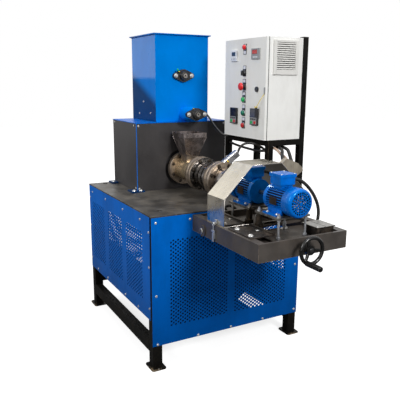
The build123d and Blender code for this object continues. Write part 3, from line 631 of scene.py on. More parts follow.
FLANGE_STEEL = Finish("flange_steel", tone(184, 170, 154), "barrel_steel", 0.32, metallic=0.8, swing=0.2, heat=0.2,
    grain=Grain(500, 0.00008, 0.2, 20), brush=Brush((1.0, 0.04, 1.0), 240.0, 0.00004, 0.25),
    grime=Grime(tone(70, 56, 46), 0.5, 34.0))
BARREL_GOLD = Finish("barrel_gold", tone(236, 214, 176), "barrel_steel", 0.24, metallic=0.8, swing=0.12, heat=0.14,
    grain=Grain(500, 0.00004, 0.12, 12), brush=Brush((1.0, 0.03, 1.0), 200.0, 0.00003, 0.2))
FUNNEL_STEEL = Finish("funnel_steel", tone(166, 156, 154), "stainless", 0.26, metallic=0.9, swing=0.2, heat=0.08,
    grain=Grain(60, 0.0004, 0.3, 14), grime=Grime(tone(24, 21, 20), 0.85, 26.0, 1.3))
GUARD_STEEL = Finish("guard_steel", tone(232, 224, 207), "stainless_mirror", 0.26, metallic=1.0, swing=0.14,
    brush=Brush((0.3, 1.0, 0.06), 200.0, 0.00003, 0.15), grime=Grime(tone(150, 136, 112), 0.2, 9.0, 2.0),
    polished_face=-0.737)
BAND_STEEL = Finish("band_steel", tone(150, 146, 142), "band_steel", 0.14, metallic=1.0, swing=0.14, heat=0.1,
    grain=Grain(400, 0.0002, 0.4, 60), grime=Grime(tone(16, 14, 13), 0.9, 42.0))
CONNECTOR = Finish("connector_alloy", tone(186, 186, 190), "zinc", 0.3, metallic=1.0,
    grain=Grain(500, 0.00008, 0.2, 40), grime=Grime(tone(120, 114, 108), 0.3, 40.0))
MOTOR_BLUE = Finish("motor_blue", tone(0, 106, 206), "motor_blue", 0.26, coat=0.08, shine=0.5,
    gloss_tint=(0.05, 0.7, 1.0), grain=Grain(600, 0.00012, 0.12, 14), grime=Grime(tone(0, 56, 112), 0.3, 18.0))
# painted shade: dark navy that darkens the gaps between the motor's fins
FIN_SHADE_NAVY = Finish("fin_shade_navy", tone(2, 22, 52), "motor_blue", 0.6, shine=0.1, grain=Grain(600, 0.0001, 0.2, 20))
DULL_ZINC = Finish("dull_zinc", tone(126, 124, 120), "zinc", 0.42, metallic=0.9, swing=0.2,
    grain=Grain(500, 0.00006, 0.25, 30), grime=Grime(tone(70, 62, 54), 0.45, 25.0))
# painted highlight: the near-white edges of the box stand in for the light caught along them
BOX_STEEL = Finish("box_steel", tone(196, 186, 168), "stainless", 0.34, metallic=0.7, swing=0.2,
    brush=Brush((1.0, 1.0, 0.08), 160.0, 0.00006, 0.35), grime=Grime(tone(150, 124, 96), 0.5, 34.0, 3.0),
    wear=RubAndGlint(tone(236, 232, 224), 0.0016, 60.0, 0.25, 0.9))
GLOSS_BLACK = Finish("gloss_black", tone(11, 11, 11), "wheel_black", 0.2, coat=0.2, shine=0.35,
    grain=Grain(500, 0.00004, 0.15, 30), grime=Grime(tone(60, 56, 50), 0.12, 30.0))
CABINET = Finish("cabinet_grey", tone(238, 238, 235), "cabinet_grey", 0.5, swing=0.08, shine=0.3,
    grain=Grain(1100, 0.00015, 0.03, 4), grime=Grime(tone(190, 186, 178), 0.2, 4.0, 3.0))
SHEATH = Finish("cable_black", tone(22, 22, 22), "cable_black", 0.45, grain=Grain(800, 0.0001, 0.2, 40),
    grime=Grime(tone(90, 82, 72), 0.22, 30.0))
PALE_SHEATH = Finish("pale_sheath", tone(190, 166, 148), "pale_sheath", 0.5, grain=Grain(800, 0.0001, 0.15, 40))
STRING_YELLOW = Finish("yellow_string", tone(226, 200, 66), "yellow_string", 0.8, grain=Grain(2500, 0.0003, 0.3, 400))
# near black for dark parts and joints, and as painted shade in holes and behind the fan and the filter
NEAR_BLACK = Finish("dark_inside", tone(12, 12, 12), "dark_plastic", 0.7, grain=Grain(600, 0.0001, 0.2, 20))
# painted shade: dark navy of the sheets that stand in for the shade inside the table
SHADE_SHEET_NAVY = Finish("painted_shade_inside", tone(7, 14, 26), "dark_plastic", 0.8, shine=0.1, grain=Grain(300, 0.0001, 0.3, 20))
FAN_CREAM = Finish("fan_cream", tone(206, 186, 158), "dark_plastic", 0.5, grain=Grain(600, 0.0001, 0.1, 20))
DIGIT_RED = Finish("digit_red", tone(236, 60, 50), "meter_plastic", 0.4, glow=0.6)


def smooth(name: str, shade: Color, slot: str, roughness: float, depth: float, mottle: float,
           mottle_scale: float = 60.0, **more: float) -> Finish:
    """Return the finish of a small moulded or turned part.

    Args:
        name: The finish's name.
        shade: Its colour.
        slot: The name of its slot, which the finish keeps but does not use.
        roughness: Its roughness.
        depth: Depth of its fine grain.
        mottle: How much its tone wanders.
        mottle_scale: How finely it wanders.
        more: Other fields of the finish.

    Returns:
        The finish.
    """
    return Finish(name, shade, slot, roughness, grain=Grain(900, depth, mottle, mottle_scale), **more)


FILTER_GREY = smooth("filter_grey", tone(222, 221, 217), "filter_grey", 0.5, 0.00008, 0.04, 12, shine=0.3)
DARK_PLASTIC = smooth("dark_plastic", tone(30, 30, 33), "dark_plastic", 0.4, 0.0001, 0.15, 40)
GREY_PLASTIC = smooth("grey_plastic", tone(150, 152, 154), "meter_plastic", 0.4, 0.0001, 0.06, 40)
WHITE_PLASTIC = smooth("white_plastic", tone(232, 234, 238), "meter_plastic", 0.35, 0.0001, 0.03, 40)
BLANK_WHITE = smooth("blank_white", tone(226, 228, 236), "legend_plate", 0.4, 0.00006, 0.03)
COLLAR_GREY = smooth("collar_grey", tone(170, 172, 174), "button_plastic", 0.3, 0.00005, 0.1, metallic=0.6)
LAMP_RED = smooth("lamp_red", tone(226, 20, 26), "button_plastic", 0.2, 0.00004, 0.1, coat=0.4)
STOP_RED = smooth("stop_red", tone(218, 34, 34), "red_plastic", 0.35, 0.0001, 0.08, 50, coat=0.1)
CAP_GREEN, CAP_TEAL, CAP_RED = (
    smooth(name, shade, "button_plastic", 0.3, 0.00006, 0.1, coat=0.2)
    for name, shade in (("cap_green", tone(18, 176, 88)), ("cap_teal", tone(20, 120, 92)),
                        ("cap_red", tone(206, 40, 40))))
SCREEN_NAVY = smooth("screen_navy", tone(20, 28, 52), "dark_plastic", 0.15, 0.00003, 0.15, 40, coat=0.4)
SCREEN_GREY = smooth("screen_grey", tone(66, 74, 86), "dark_plastic", 0.2, 0.00003, 0.1, 40, coat=0.3)
SCREEN_RED = smooth("screen_red", tone(112, 16, 26), "dark_plastic", 0.15, 0.00003, 0.25, 160, coat=0.4)
BRASS = smooth("brass", tone(206, 170, 70), "bright_steel", 0.3, 0.0001, 0.15, metallic=1.0)
PLATE_BROWN = smooth("plate_brown", tone(52, 42, 38), "motor_blue", 0.35, 0.00005, 0.25, metallic=0.4)


def coat(finish: Finish, *names: str) -> None:
    """Give solids of the machine their finish.

    Args:
        finish: The finish.
        names: The solids' nodes.
    """
    for name in names:
        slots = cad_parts[name].data.materials
        slots.clear()
        slots.append(finish.material(*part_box(name)))
        LOG.info("finish %s on %s", finish.name, name)


class Assembly:
    """Base of the sub-assemblies: turns shapes into pieces that ride on a body."""

    body = Body.MACHINE

    def piece(self, name: str, shape: object, finish: Finish, *replaces: str,
              body: Body | None = None) -> Object:
        """Make a finished piece.

        Args:
            name: The piece's name.
            shape: A mesh in place, a shaper, or a list of meshes and of shapers with their own finishes.
            finish: Its finish, unless the mesh has materials already.
            replaces: Solids that it stands for.
            body: The body it rides on, if not the assembly's own.

        Returns:
            The new object.
        """
        if isinstance(shape, list):
            parts = [part if isinstance(part, Mesh) else part[0].mesh(part[1]) for part in shape]
            shape = joined(parts) if len(parts) > 1 else parts[0]
        mesh = shape.mesh() if isinstance(shape, Shaper) else shape
        mesh.name = name
        made = bpy.data.objects.new(name, mesh)
        bpy.context.scene.collection.objects.link(made)
        if not mesh.materials:
            mesh.materials.append(finish.material())
        if replaces:
            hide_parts(*replaces)
        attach(made, (body or self.body).value)
        LOG.info("piece %s, %d faces", name, len(mesh.polygons))
        return made


class Shaper:
    """Collects simple closed solids in one mesh; its sizes and places are in millimetres."""

    def __init__(self) -> None:
        """Start with an empty mesh."""
        self.made = bmesh.new()

    def block(self, low: Sequence[float], high: Sequence[float], bevel: float = 0.0,
              turn: Matrix | None = None) -> Shaper:
        """Add a box.

        Args:
            low: Its lowest corner.
            high: Its highest corner.
            bevel: How far its edges are rounded.
            turn: How it is turned about its middle.

        Returns:
            The shaper itself.
        """
        part = bmesh.new()
        bmesh.ops.create_cube(part, size=1.0)
        bmesh.ops.scale(part, vec=Vector(high) - Vector(low), verts=part.verts)
        if bevel:
            bmesh.ops.bevel(part, geom=part.edges[:], offset=bevel, segments=2, affect="EDGES", profile=0.6)
        middle = (Vector(high) + Vector(low)) / 2
        return self.take(part, Matrix.Translation(middle) @ (turn.to_4x4() if turn else Matrix.Identity(4)))

    def lathe(self, profile: Sequence[tuple[float, float]], origin: Sequence[float], axis: Sequence[float],
              steps: int = 32) -> Shaper:
        """Add a body turned about an axis.

        Args:
            profile: Pairs of distance along the axis and radius, first and last with radius 0.
            origin: Where the axis starts.
            axis: Its direction.
            steps: Faces round the body.

        Returns:
            The shaper itself.
        """
        part = bmesh.new()
        rings = []
        for along, radius in profile:
            if radius == 0:
                rings.append([part.verts.new((0, 0, along))])
                continue
            rings.append([part.verts.new((x, y, along)) for x, y in circle(steps, radius)])
        for below, above in zip(rings, rings[1:]):
            for k in range(steps):
                after = (k + 1) % steps
                if len(below) == 1:
                    part.faces.new((below[0], above[k], above[after]))
                elif len(above) == 1:
                    part.faces.new((below[k], above[0], below[after]))
                else:
                    part.faces.new((below[k], above[k], above[after], below[after]))
        bmesh.ops.recalc_face_normals(part, faces=part.faces)
        for face in part.faces:
            face.smooth = True
        turn = Vector(axis).to_track_quat("Z", "Y").to_matrix().to_4x4()
        return self.take(part, Matrix.Translation(Vector(origin)) @ turn)

    def prism(self, outline: Sequence[Sequence[float]], push: Sequence[float]) -> Shaper:
        """Add a flat outline that is pushed along a vector.

        Args:
            outline: Its corners in space.
            push: The vector.

        Returns:
            The shaper itself.
        """
        part = bmesh.new()
        first = [part.verts.new(p) for p in outline]
        second = [part.verts.new(Vector(p) + Vector(push)) for p in outline]
        part.faces.new(first)
        part.faces.new(list(reversed(second)))
        count = len(outline)
        for k in range(count):
            after = (k + 1) % count
            part.faces.new((first[k], second[k], second[after], first[after]))
        bmesh.ops.recalc_face_normals(part, faces=part.faces)
        return self.take(part, Matrix.Identity(4))

    def rod(self, start: Sequence[float], end: Sequence[float], radius: float, steps: int = 12) -> Shaper:
        """Add a round bar with softened ends.

        Args:
            start: Middle of its first end.
            end: Middle of its other end.
            radius: Its radius.
            steps: Faces round it.

        Returns:
            The shaper itself.
        """
        way = Vector(end) - Vector(start)
        edge = min(radius, way.length) * 0.2
        profile = [(0, 0), (0, radius - edge), (edge, radius), (way.length - edge, radius),
                   (way.length, radius - edge), (way.length, 0)]
        return self.lathe(profile, start, way, steps)

    def take(self, part: bmesh.types.BMesh, matrix: Matrix) -> Shaper:
        """Move a solid into place and join it to the mesh.

        Args:
            part: The solid, which is used up.
            matrix: Where it goes.

        Returns:
            The shaper itself.
        """
        bmesh.ops.transform(part, matrix=Matrix.Scale(METRES, 4) @ matrix, verts=part.verts)
        held = bpy.data.meshes.new("held")
        part.to_mesh(held)
        part.free()
        self.made.from_mesh(held)
        bpy.data.meshes.remove(held)
        return self

    def mesh(self, finish: Finish | None = None) -> Mesh:
        """Hand over the collected mesh.

        Args:
            finish: A finish of its own, if it has one.

        Returns:
            The mesh, in metres.
        """
        out = bpy.data.meshes.new("shape")
        self.made.to_mesh(out)
        self.made.free()
        if finish:
            out.materials.append(finish.material())
        return out


class Growth(Board):
    """A geometry tree with a Geometry and a Material input and the inputs that it names."""

    def __init__(self, name: str, numbers: str = "", counts: str = "", vectors: str = "") -> None:
        """Make the tree.

        Args:
            name: The tree's name.
            numbers: Names of its number inputs, with commas between them.
            counts: Names of its whole number inputs.
            vectors: Names of its vector inputs.
        """
        kinds = {"Geometry": "Geometry", "Material": "Material"}
        for kind, labels in (("Float", numbers), ("Int", counts), ("Vector", vectors)):
            kinds.update({label: kind for label in labels.split(", ") if label})
        board, here, self.out = new_tree(name, "GeometryNodeTree", kinds, {"Geometry": "Geometry"})
        super().__init__(board.tree)
        self.ins = {socket.name: socket for socket in here.outputs if socket.name}

    def done(self, geometry: object) -> NodeTree:
        """Finish the tree.

        Args:
            geometry: What it makes, with instances or without.

        Returns:
            The tree, which puts out real geometry with its material.
        """
        real = self.add("GeometryNodeRealizeInstances", {0: geometry})
        self.feed(self.out.inputs[0], self.add("GeometryNodeSetMaterial", {0: real, "Material": self.ins["Material"]}))
        return self.tree


class Pattern:
    """Geometry Nodes trees for what repeats, each made once and baked to plain meshes."""

    made: dict[str, NodeTree] = {}

    @classmethod
    def bake(cls, kind: str, base: Mesh, values: dict[str, object]) -> Mesh:
        """Run a tree on a mesh.

        Args:
            kind: Name of the method that makes the tree.
            base: The mesh that the tree starts from.
            values: The tree's inputs by name.

        Returns:
            The baked mesh.
        """
        if kind not in cls.made:
            cls.made[kind] = getattr(cls, kind)()
        tree = cls.made[kind]
        holder = bpy.data.objects.new("holder", base)
        bpy.context.scene.collection.objects.link(holder)
        modifier = holder.modifiers.new("pattern", "NODES")
        modifier.node_group = tree
        for item in tree.interface.items_tree:
            if item.item_type == "SOCKET" and item.in_out == "INPUT" and item.name in values:
                modifier[item.identifier] = values[item.name]
        baked = plain_mesh(holder)
        holder.modifiers.remove(modifier)
        bpy.data.objects.remove(holder)
        return baked

    @staticmethod
    def sheet() -> NodeTree:
        """Make a thin sheet with fields of staggered round holes.

        Returns:
            The tree.
        """
        board = Growth("perforated_sheet", "Width, Height, Thickness, Field step, Field middle, Lowest hole, "
                       "Column pitch, Hole pitch, Hole radius", "Fields, Columns, Rows", "Place, Turn")
        ins = board.ins
        outline = board.add("GeometryNodeCurvePrimitiveQuadrilateral", {"Width": ins["Width"], "Height": ins["Height"]})
        up = board.combine(y=board.times(ins["Height"], 0.5))
        outline = board.add("GeometryNodeTransform", {"Geometry": outline, "Translation": up})
        wide = board.times(board.math("SUBTRACT", ins["Columns"], 1.0), ins["Column pitch"])
        high = board.times(board.math("SUBTRACT", ins["Rows"], 1.0), ins["Hole pitch"])
        grid = board.add("GeometryNodeMeshGrid", {"Size X": wide, "Size Y": high, "Vertices X": ins["Columns"],
                                                  "Vertices Y": ins["Rows"]})
        x = board.add("ShaderNodeSeparateXYZ", {0: board.add("GeometryNodeInputPosition")}).outputs[0]
        from_side = board.math("ADD", x, board.times(wide, 0.5))
        column = board.math("ROUND", board.math("DIVIDE", from_side, ins["Column pitch"]))
        odd = board.math("FLOORED_MODULO", column, 2.0)
        lift = board.math("ADD", board.times(high, 0.5), ins["Lowest hole"])
        rise = board.math("ADD", lift, board.times(odd, board.times(ins["Hole pitch"], 0.5)))
        grid = board.add("GeometryNodeSetPosition", {0: grid, "Offset": board.combine(y=rise)})
        reach = board.times(board.math("SUBTRACT", ins["Fields"], 1.0), ins["Field step"])
        first = board.math("SUBTRACT", ins["Field middle"], board.times(reach, 0.5))
        line = board.add("GeometryNodeMeshLine", {"Count": ins["Fields"], "Start Location": board.combine(first),
                                                  "Offset": board.combine(ins["Field step"])})
        hole = board.add("GeometryNodeCurvePrimitiveCircle", {"Resolution": 10, "Radius": ins["Hole radius"]})
        holes = board.copies(board.copies(line, grid), hole)
        return board.done(board.plate(board.join(outline, holes), ins))

    @staticmethod
    def heads() -> NodeTree:
        """Make bolt or screw heads on washers at the points of a mesh.

        Returns:
            The tree.
        """
        board = Growth("heads", "Radius, Height, Washer", "Sides", "Turn")
        ins = board.ins
        stack = []
        for sides, low, high, share, up in ((20, ins["Washer"], board.times(ins["Washer"], 0.94), 0.25, 0.0),
                                            (ins["Sides"], ins["Radius"], ins["Radius"], 0.55, 0.25),
                                            (ins["Sides"], ins["Radius"], board.times(ins["Radius"], 0.72), 0.2, 0.8)):
            cone = board.add("GeometryNodeMeshCone", {"Vertices": sides, "Radius Top": high, "Radius Bottom": low,
                                                      "Depth": board.times(ins["Height"], share)})
            place = board.combine(z=board.times(ins["Height"], up))
            stack.append(board.add("GeometryNodeTransform", {"Geometry": cone, "Translation": place}))
        return board.done(board.add("GeometryNodeInstanceOnPoints", {
            "Points": ins["Geometry"], "Instance": board.join(*stack), "Rotation": ins["Turn"]}))

    @staticmethod
    def slots() -> NodeTree:
        """Make a round plate with a hole at each point of the mesh.

        Returns:
            The tree.
        """
        board = Growth("slotted_plate", "Radius, Hole, Thickness", vectors="Place, Turn")
        ins = board.ins
        rim = board.add("GeometryNodeCurvePrimitiveCircle", {"Resolution": 48, "Radius": ins["Radius"]})
        hole = board.add("GeometryNodeCurvePrimitiveCircle", {"Resolution": 8, "Radius": ins["Hole"]})
        return board.done(board.plate(board.join(rim, board.copies(ins["Geometry"], hole)), ins))

    @staticmethod
    def blades() -> NodeTree:
        """Make louvre blades in a column.

        Returns:
            The tree.
        """
        board = Growth("louvre_blades", "Pitch", "Count", "Size, Tilt, First")
        ins = board.ins
        line = board.add("GeometryNodeMeshLine", {"Count": ins["Count"], "Start Location": ins["First"],
                                                  "Offset": board.combine(z=ins["Pitch"])})
        blade = board.add("GeometryNodeMeshCube", {"Size": ins["Size"]})
        return board.done(board.add("GeometryNodeInstanceOnPoints", {"Points": line, "Instance": blade,
                                                                     "Rotation": ins["Tilt"]}))

    @staticmethod
    def hose() -> NodeTree:
        """Make a corrugated tube along the edges of a line mesh.

        Returns:
            The tree.
        """
        board = Growth("corrugated_hose", "Radius, Rib, Rib step", "Steps")
        ins = board.ins
        curve = board.add("GeometryNodeMeshToCurve", {0: ins["Geometry"]})
        curve = board.add("GeometryNodeResampleCurve", {"Curve": curve, "Length": ins["Rib step"]}, mode="LENGTH")
        odd = board.math("FLOORED_MODULO", board.add("GeometryNodeInputIndex"), 2.0)
        radius = board.math("SUBTRACT", ins["Radius"], board.times(odd, ins["Rib"]))
        curve = board.add("GeometryNodeSetCurveRadius", {0: curve, "Radius": radius})
        ring = board.add("GeometryNodeCurvePrimitiveCircle", {"Resolution": ins["Steps"], "Radius": 1.0})
        tube = board.add("GeometryNodeCurveToMesh", {"Curve": curve, "Profile Curve": ring, "Fill Caps": True})
        if "Scale" in tube.inputs:
            board.feed(tube.inputs["Scale"], radius)
        return board.done(tube)


def plain_mesh(thing: Object) -> Mesh:
    """Evaluate an object.

    Args:
        thing: The object, with its modifiers or curve settings.

    Returns:
        Its shape as a plain mesh.
    """
    graph = bpy.context.evaluated_depsgraph_get()
    graph.update()
    return bpy.data.meshes.new_from_object(thing.evaluated_get(graph), depsgraph=graph)


def points_mesh(places: Iterable[Sequence[float]] = ()) -> Mesh:
    """Make a mesh of loose points.

    Args:
        places: Where they are, in metres.

    Returns:
        The mesh.
    """
    mesh = bpy.data.meshes.new("points")
    mesh.from_pydata([tuple(p) for p in places], [], [])
    return mesh


def heads(places: Iterable[Sequence[float]], facing: Facing, radius: float, height: float, head: Head = Head.HEX,
          washer: float | None = None, finish: Finish = BOLT_STEEL) -> Mesh:
    """Return bolt or screw heads at places, all in millimetres.

    Args:
        places: Where the heads sit.
        facing: The way they look.
        radius: Head radius.
        height: Head height.
        head: The kind of head.
        washer: Washer radius, if not the kind's own.
        finish: Their finish.

    Returns:
        The baked mesh.
    """
    sides, share = head.value
    return Pattern.bake("heads", points_mesh(mm(*p) for p in places), {
        "Radius": radius / 1000, "Height": height / 1000, "Sides": sides, "Washer": (washer or radius * share) / 1000,
        "Turn": facing.value, "Material": finish.material()})


def joined(meshes: Sequence[Mesh]) -> Mesh:
    """Join meshes with their materials.

    Args:
        meshes: The meshes.

    Returns:
        One mesh with all of them.
    """
    out = bpy.data.meshes.new("joined")
    gathered = bmesh.new()
    for mesh in meshes:
        slots = []
        for material in filter(None, mesh.materials):
            if material.name not in out.materials:
                out.materials.append(material)
            slots.append(out.materials.find(material.name))
        start = len(gathered.faces)
        gathered.from_mesh(mesh)
        gathered.faces.ensure_lookup_table()
        for face in gathered.faces[start:]:
            face.material_index = slots[min(face.material_index, len(slots) - 1)] if slots else 0
    gathered.to_mesh(out)
    gathered.free()
    return out


@dataclass
class Studio:
    """Floor, lamps, world and the camera at the photograph's view."""

    place: Triple = mm(-1379.3, -2639.5, 1373.5)
    azimuth: float = -28.871
    elevation: float = 12.526
    roll: float = 0.323
    lens: float = 48.109
    sensor: float = 36.0
    reach: float = 60.0
    lamps: tuple = (("key", (0.3, -4.7, 3.4), (0.0, -0.3, 0.8), 1.0, 152.0),
                    ("side", (-4.4, -0.6, 3.5), (-0.2, 0.0, 0.9), 2.0, 112.0),
                    ("top", (0.2, 0.3, 4.4), (0.0, 0.0, 0.8), 2.4, 45.0))
    ambient: float = 0.38
    floor_half: float = 14.0
    floor_tones: tuple = ((0.17, 0.17, 0.17), (0.5, 0.5, 0.5))
    floor_glow: tuple = (0.6, 2.4, 0.78, 1.0)

    def build(self) -> None:
        """Make the stage."""
        self.camera()
        self.world()
        self.floor()
        for lamp in self.lamps:
            self.lamp(*lamp)
        bpy.context.scene.view_settings.view_transform = "Standard"

    def camera(self) -> None:
        """Place the camera."""
        azimuth, elevation, roll = (math.radians(a) for a in (self.azimuth, self.elevation, self.roll))
        right = Vector((math.cos(azimuth), math.sin(azimuth), 0))
        back = Vector((math.sin(azimuth) * math.cos(elevation), -math.cos(azimuth) * math.cos(elevation),
                       math.sin(elevation)))
        up = back.cross(right)
        across = math.cos(roll) * right + math.sin(roll) * up
        upward = -math.sin(roll) * right + math.cos(roll) * up
        data = bpy.data.cameras.new("view")
        data.lens = self.lens
        data.sensor_width = self.sensor
        data.clip_end = self.reach
        eye = bpy.data.objects.new("view", data)
        bpy.context.scene.collection.objects.link(eye)
        turn = Matrix((across, upward, back)).transposed().to_4x4()
        eye.matrix_world = Matrix.Translation(self.place) @ turn
        bpy.context.scene.camera = eye

    def world(self) -> None:
        """Light the scene evenly and show white to the camera and in reflections."""
        world = bpy.data.worlds.new("studio")
        world.use_nodes = True
        bpy.context.scene.world = world
        board = Board(world.node_tree)
        world.node_tree.nodes.clear()
        path = board.add("ShaderNodeLightPath")
        seen = board.math("MAXIMUM", path.outputs["Is Camera Ray"], path.outputs["Is Glossy Ray"])
        seen = board.math("MAXIMUM", seen, path.outputs["Is Transmission Ray"])
        soft, white = (board.add("ShaderNodeBackground", {"Color": (1.0, 1.0, 1.0), "Strength": strength})
                       for strength in (self.ambient, 1.0))
        mixed = board.add("ShaderNodeMixShader", {0: seen, 1: soft, 2: white})
        board.add("ShaderNodeOutputWorld", {0: mixed})

    def floor(self) -> None:
        """Lay a pale floor that keeps the machine's shadow."""
        mesh, half = bpy.data.meshes.new("floor"), self.floor_half
        mesh.from_pydata([(-half, -half, 0), (half, -half, 0), (half, half, 0), (-half, half, 0)], [], [(0, 1, 2, 3)])
        material = bpy.data.materials.new("floor")
        material.use_nodes = True
        board = Board(material.node_tree)
        shader = material.node_tree.nodes["Principled BSDF"]
        shader.inputs["Roughness"].default_value = 0.9
        shader.inputs["Specular IOR Level"].default_value = 0.0
        seen = board.add("ShaderNodeLightPath").outputs["Is Camera Ray"]
        board.feed(shader.inputs["Base Color"], board.blend(seen, *self.floor_tones))
        place = board.add("ShaderNodeTexCoord").outputs["Object"]
        away = board.add("ShaderNodeVectorMath", {0: place}, operation="LENGTH").outputs["Value"]
        glow = board.times(seen, board.spread(away, *self.floor_glow))
        light = board.add("ShaderNodeEmission", {"Color": (1.0, 1.0, 1.0), "Strength": glow})
        both = board.add("ShaderNodeAddShader", {0: shader, 1: light})
        board.feed(material.node_tree.nodes["Material Output"].inputs[0], both)
        mesh.materials.append(material)
        floor = bpy.data.objects.new("floor", mesh)
        bpy.context.scene.collection.objects.link(floor)

    def lamp(self, name: str, place: Triple, target: Triple, size: float, power: float) -> None:
        """Hang a square soft lamp that looks at a target.

        Args:
            name: Its name.
            place: Where it hangs.
            target: What it looks at.
            size: Length of its side.
            power: Its power in watts.
        """
        data = bpy.data.lights.new(name, "AREA")
        data.size = size
        data.energy = power
        lamp = bpy.data.objects.new(name, data)
        lamp.location = place
        lamp.rotation_euler = (Vector(target) - Vector(place)).to_track_quat("-Z", "Y").to_euler()
        bpy.context.scene.collection.objects.link(lamp)


@dataclass(frozen=True)
class Sheet:
    """A perforated sheet: its size, its fields of holes, and the middle of its lower inner edge."""

    width: float
    height: float
    fields: int
    field_step: float
    field_middle: float
    lowest_hole: float
    columns: int
    rows: int
    place: Triple
    facing: Facing
    thickness: float = 0.002
    hole_radius: float = 0.0051
    column_pitch: float = 0.0125
    hole_pitch: float = 0.019

    def bake(self) -> Mesh:
        """Bake the sheet; its fields have the names of the tree's inputs.

        Returns:
            The sheet's mesh.
        """
        sizes = {name.capitalize().replace("_", " "): value for name, value in vars(self).items()}
        return Pattern.bake("sheet", points_mesh(), {**sizes, "Turn": self.facing.value,
                                                     "Material": BLUE_SHEET.material()})


@dataclass
class Table(Assembly):
    """The table: legs, rails, top plate and the four perforated panels."""

    panels: tuple = (
        ("front_panel_sheet", "front_panel",
         Sheet(0.870, 0.641, 2, 0.3655, 0.00425, 0.0935, 26, 23, (0, -0.463, 0.120), Facing.FRONT)),
        ("side_sheets", "side_panels",
         Sheet(0.902, 0.513, 3, 0.2737, -0.0205, 0.0855, 17, 18, (-0.433, 0.008, 0.248), Facing.LEFT),
         Sheet(0.902, 0.513, 3, 0.2737, 0.0205, 0.0855, 17, 18, (0.433, 0.008, 0.248), Facing.RIGHT)),
        ("back_panel_sheet", "back_panel",
         Sheet(0.850, 0.513, 2, 0.3655, 0.0, 0.0175, 26, 21, (0, 0.463, 0.248), Facing.REAR)))
    screw: tuple = (5.2, 3.0, Head.PAN)
    front: float = 465.0
    side: float = 435.0
    front_screws: tuple = ((-412, 736), (-233, 735), (0, 736), (233, 735), (412, 736), (-413, 377), (413, 404),
                           (-409, 127), (-186, 127), (8, 128), (208, 129), (418, 140))
    side_screws: tuple = ((398, 727), (167, 727), (-101, 727), (-331, 727), (339, 264), (166, 264), (-111, 264),
                          (-290, 264), (-433, 687), (-433, 515), (-433, 307), (447, 687), (447, 515), (447, 307))
    shade_y: float = -460.8
    shade_outlines: tuple = (((-6, 655), (125, 655), (125, 445), (-6, 445)),
                             ((-6, 445), (125, 445), (109, 316), (53, 270), (-6, 270)),
                             ((125, 445), (350, 308), (350, 205), (268, 205), (268, 217), (109, 316)),
                             ((-6, 270), (53, 270), (128, 205), (-6, 205)))
    top: float = 766.0
    socket_edge: tuple = ((-0.4, 12.5), (-0.4, 15.2), (0.3, 15), (0.3, 12.5), (-0.4, 12.5))

    def build(self) -> None:
        """Dress the frame and make the panels, their screws and the sockets."""
        coat(LEG_BLACK, "legs")
        coat(FRAME_BLACK, "frame_rails")
        coat(TABLE_STEEL, "table_top")
        for name, node, *sheets in self.panels:
            self.piece(name, [sheet.bake() for sheet in sheets], BLUE_SHEET, node)
        self.screws()
        self.inside()
        self.sockets()

    def screws(self) -> None:
        """Put the pale screws on the panels."""
        sets = {Facing.FRONT: [(x, -self.front, z) for x, z in self.front_screws],
                Facing.LEFT: [(-self.side, y, z) for y, z in self.side_screws],
                Facing.RIGHT: [(self.side, y, z) for y, z in self.side_screws],
                Facing.REAR: [(x, self.front, z) for x in (-400, -200, 0, 200, 400) for z in (264, 745)]}
        self.piece("panel_screws", [heads(places, facing, *self.screw) for facing, places in sets.items()], BOLT_STEEL)

    def inside(self) -> None:
        """Put dark sheets behind the holes as painted shade, standing in for the dark inside of the table where no
        light comes through.
        """
        dark = Shaper().block((-345, self.shade_y, 205), (-6, self.shade_y + 1, 655))
        dark.block((-430.8, -412, 325), (-429.8, 412, 505))
        for outline in self.shade_outlines:
            dark.prism([(x, self.shade_y, z) for x, z in outline], (0, 1, 0))
        self.piece("painted_shade_inside", dark, SHADE_SHEET_NAVY)

    def sockets(self) -> None:
        """Make the lifting holes of the top plate: dark grounds that paint the shade inside them, a painted glint in
        each, and dark edges.
        """
        grounds, glints, edges = Shaper(), Shaper(), Shaper()
        for x in (-348, 348):
            for y in (-366, 420):
                # the dark grounds are painted shade in the holes; the bright discs beside them are painted glints
                grounds.lathe(((0, 0), (0, 12.4), (0.6, 12.4), (0.6, 0)), (x, y, self.top - 4), UPWARD)
                glints.lathe(((0, 0), (0, 5), (1, 4.5), (1, 0)), (x + 4, y - 3, self.top - 3.5), UPWARD, 16)
                edges.lathe(self.socket_edge, (x, y, self.top), UPWARD)
        self.piece("socket_shade_grounds", grounds, NEAR_BLACK)
        self.piece("socket_glints", glints, BOLT_STEEL)
        self.piece("socket_edges", edges, NEAR_BLACK)


@dataclass
class Housing(Assembly):
    """The drive housing with its lugs and bolts."""

    left: float = -269.5
    right: float = 299.5
    front: float = 98.5
    lug: float = 774.0
    top: float = 1145.0
    screw: tuple = (4.5, 3.0, Head.PAN)

    def build(self) -> None:
        """Dress the housing and add its trim and bolts."""
        coat(HOUSING_BLACK, "drive_housing")
        coat(BLUE_SHEET, "housing_top")
        coat(LUG_BLUE, "housing_feet")
        left, right, front, lug, top = self.left, self.right, self.front, self.lug, self.top
        trim = Shaper().block((left - 0.6, front - 0.8, lug), (left + 2.6, front + 2.6, top), 0.3)
        self.piece("corner_trim", trim, BLUE_SHEET)
        faces = (((left + 12, front, top - 13), (right - 14, front, top - 13), (left + 12, front, lug + 8)),
                 ((left, 134, top - 12), (left, 440, top - 12), (left, 120, lug + 10)))
        lugs = ((left - 22, front - 4, lug), (left + 16, front - 10, lug), (right + 22, front - 4, lug),
                (left - 22, 428, lug), (right + 22, 428, lug))
        self.piece("housing_bolts", [heads(faces[0], Facing.FRONT, *self.screw),
                                     heads(faces[1], Facing.LEFT, *self.screw),
                                     heads(lugs, Facing.UP, 8.0, 7.0)], BOLT_STEEL)


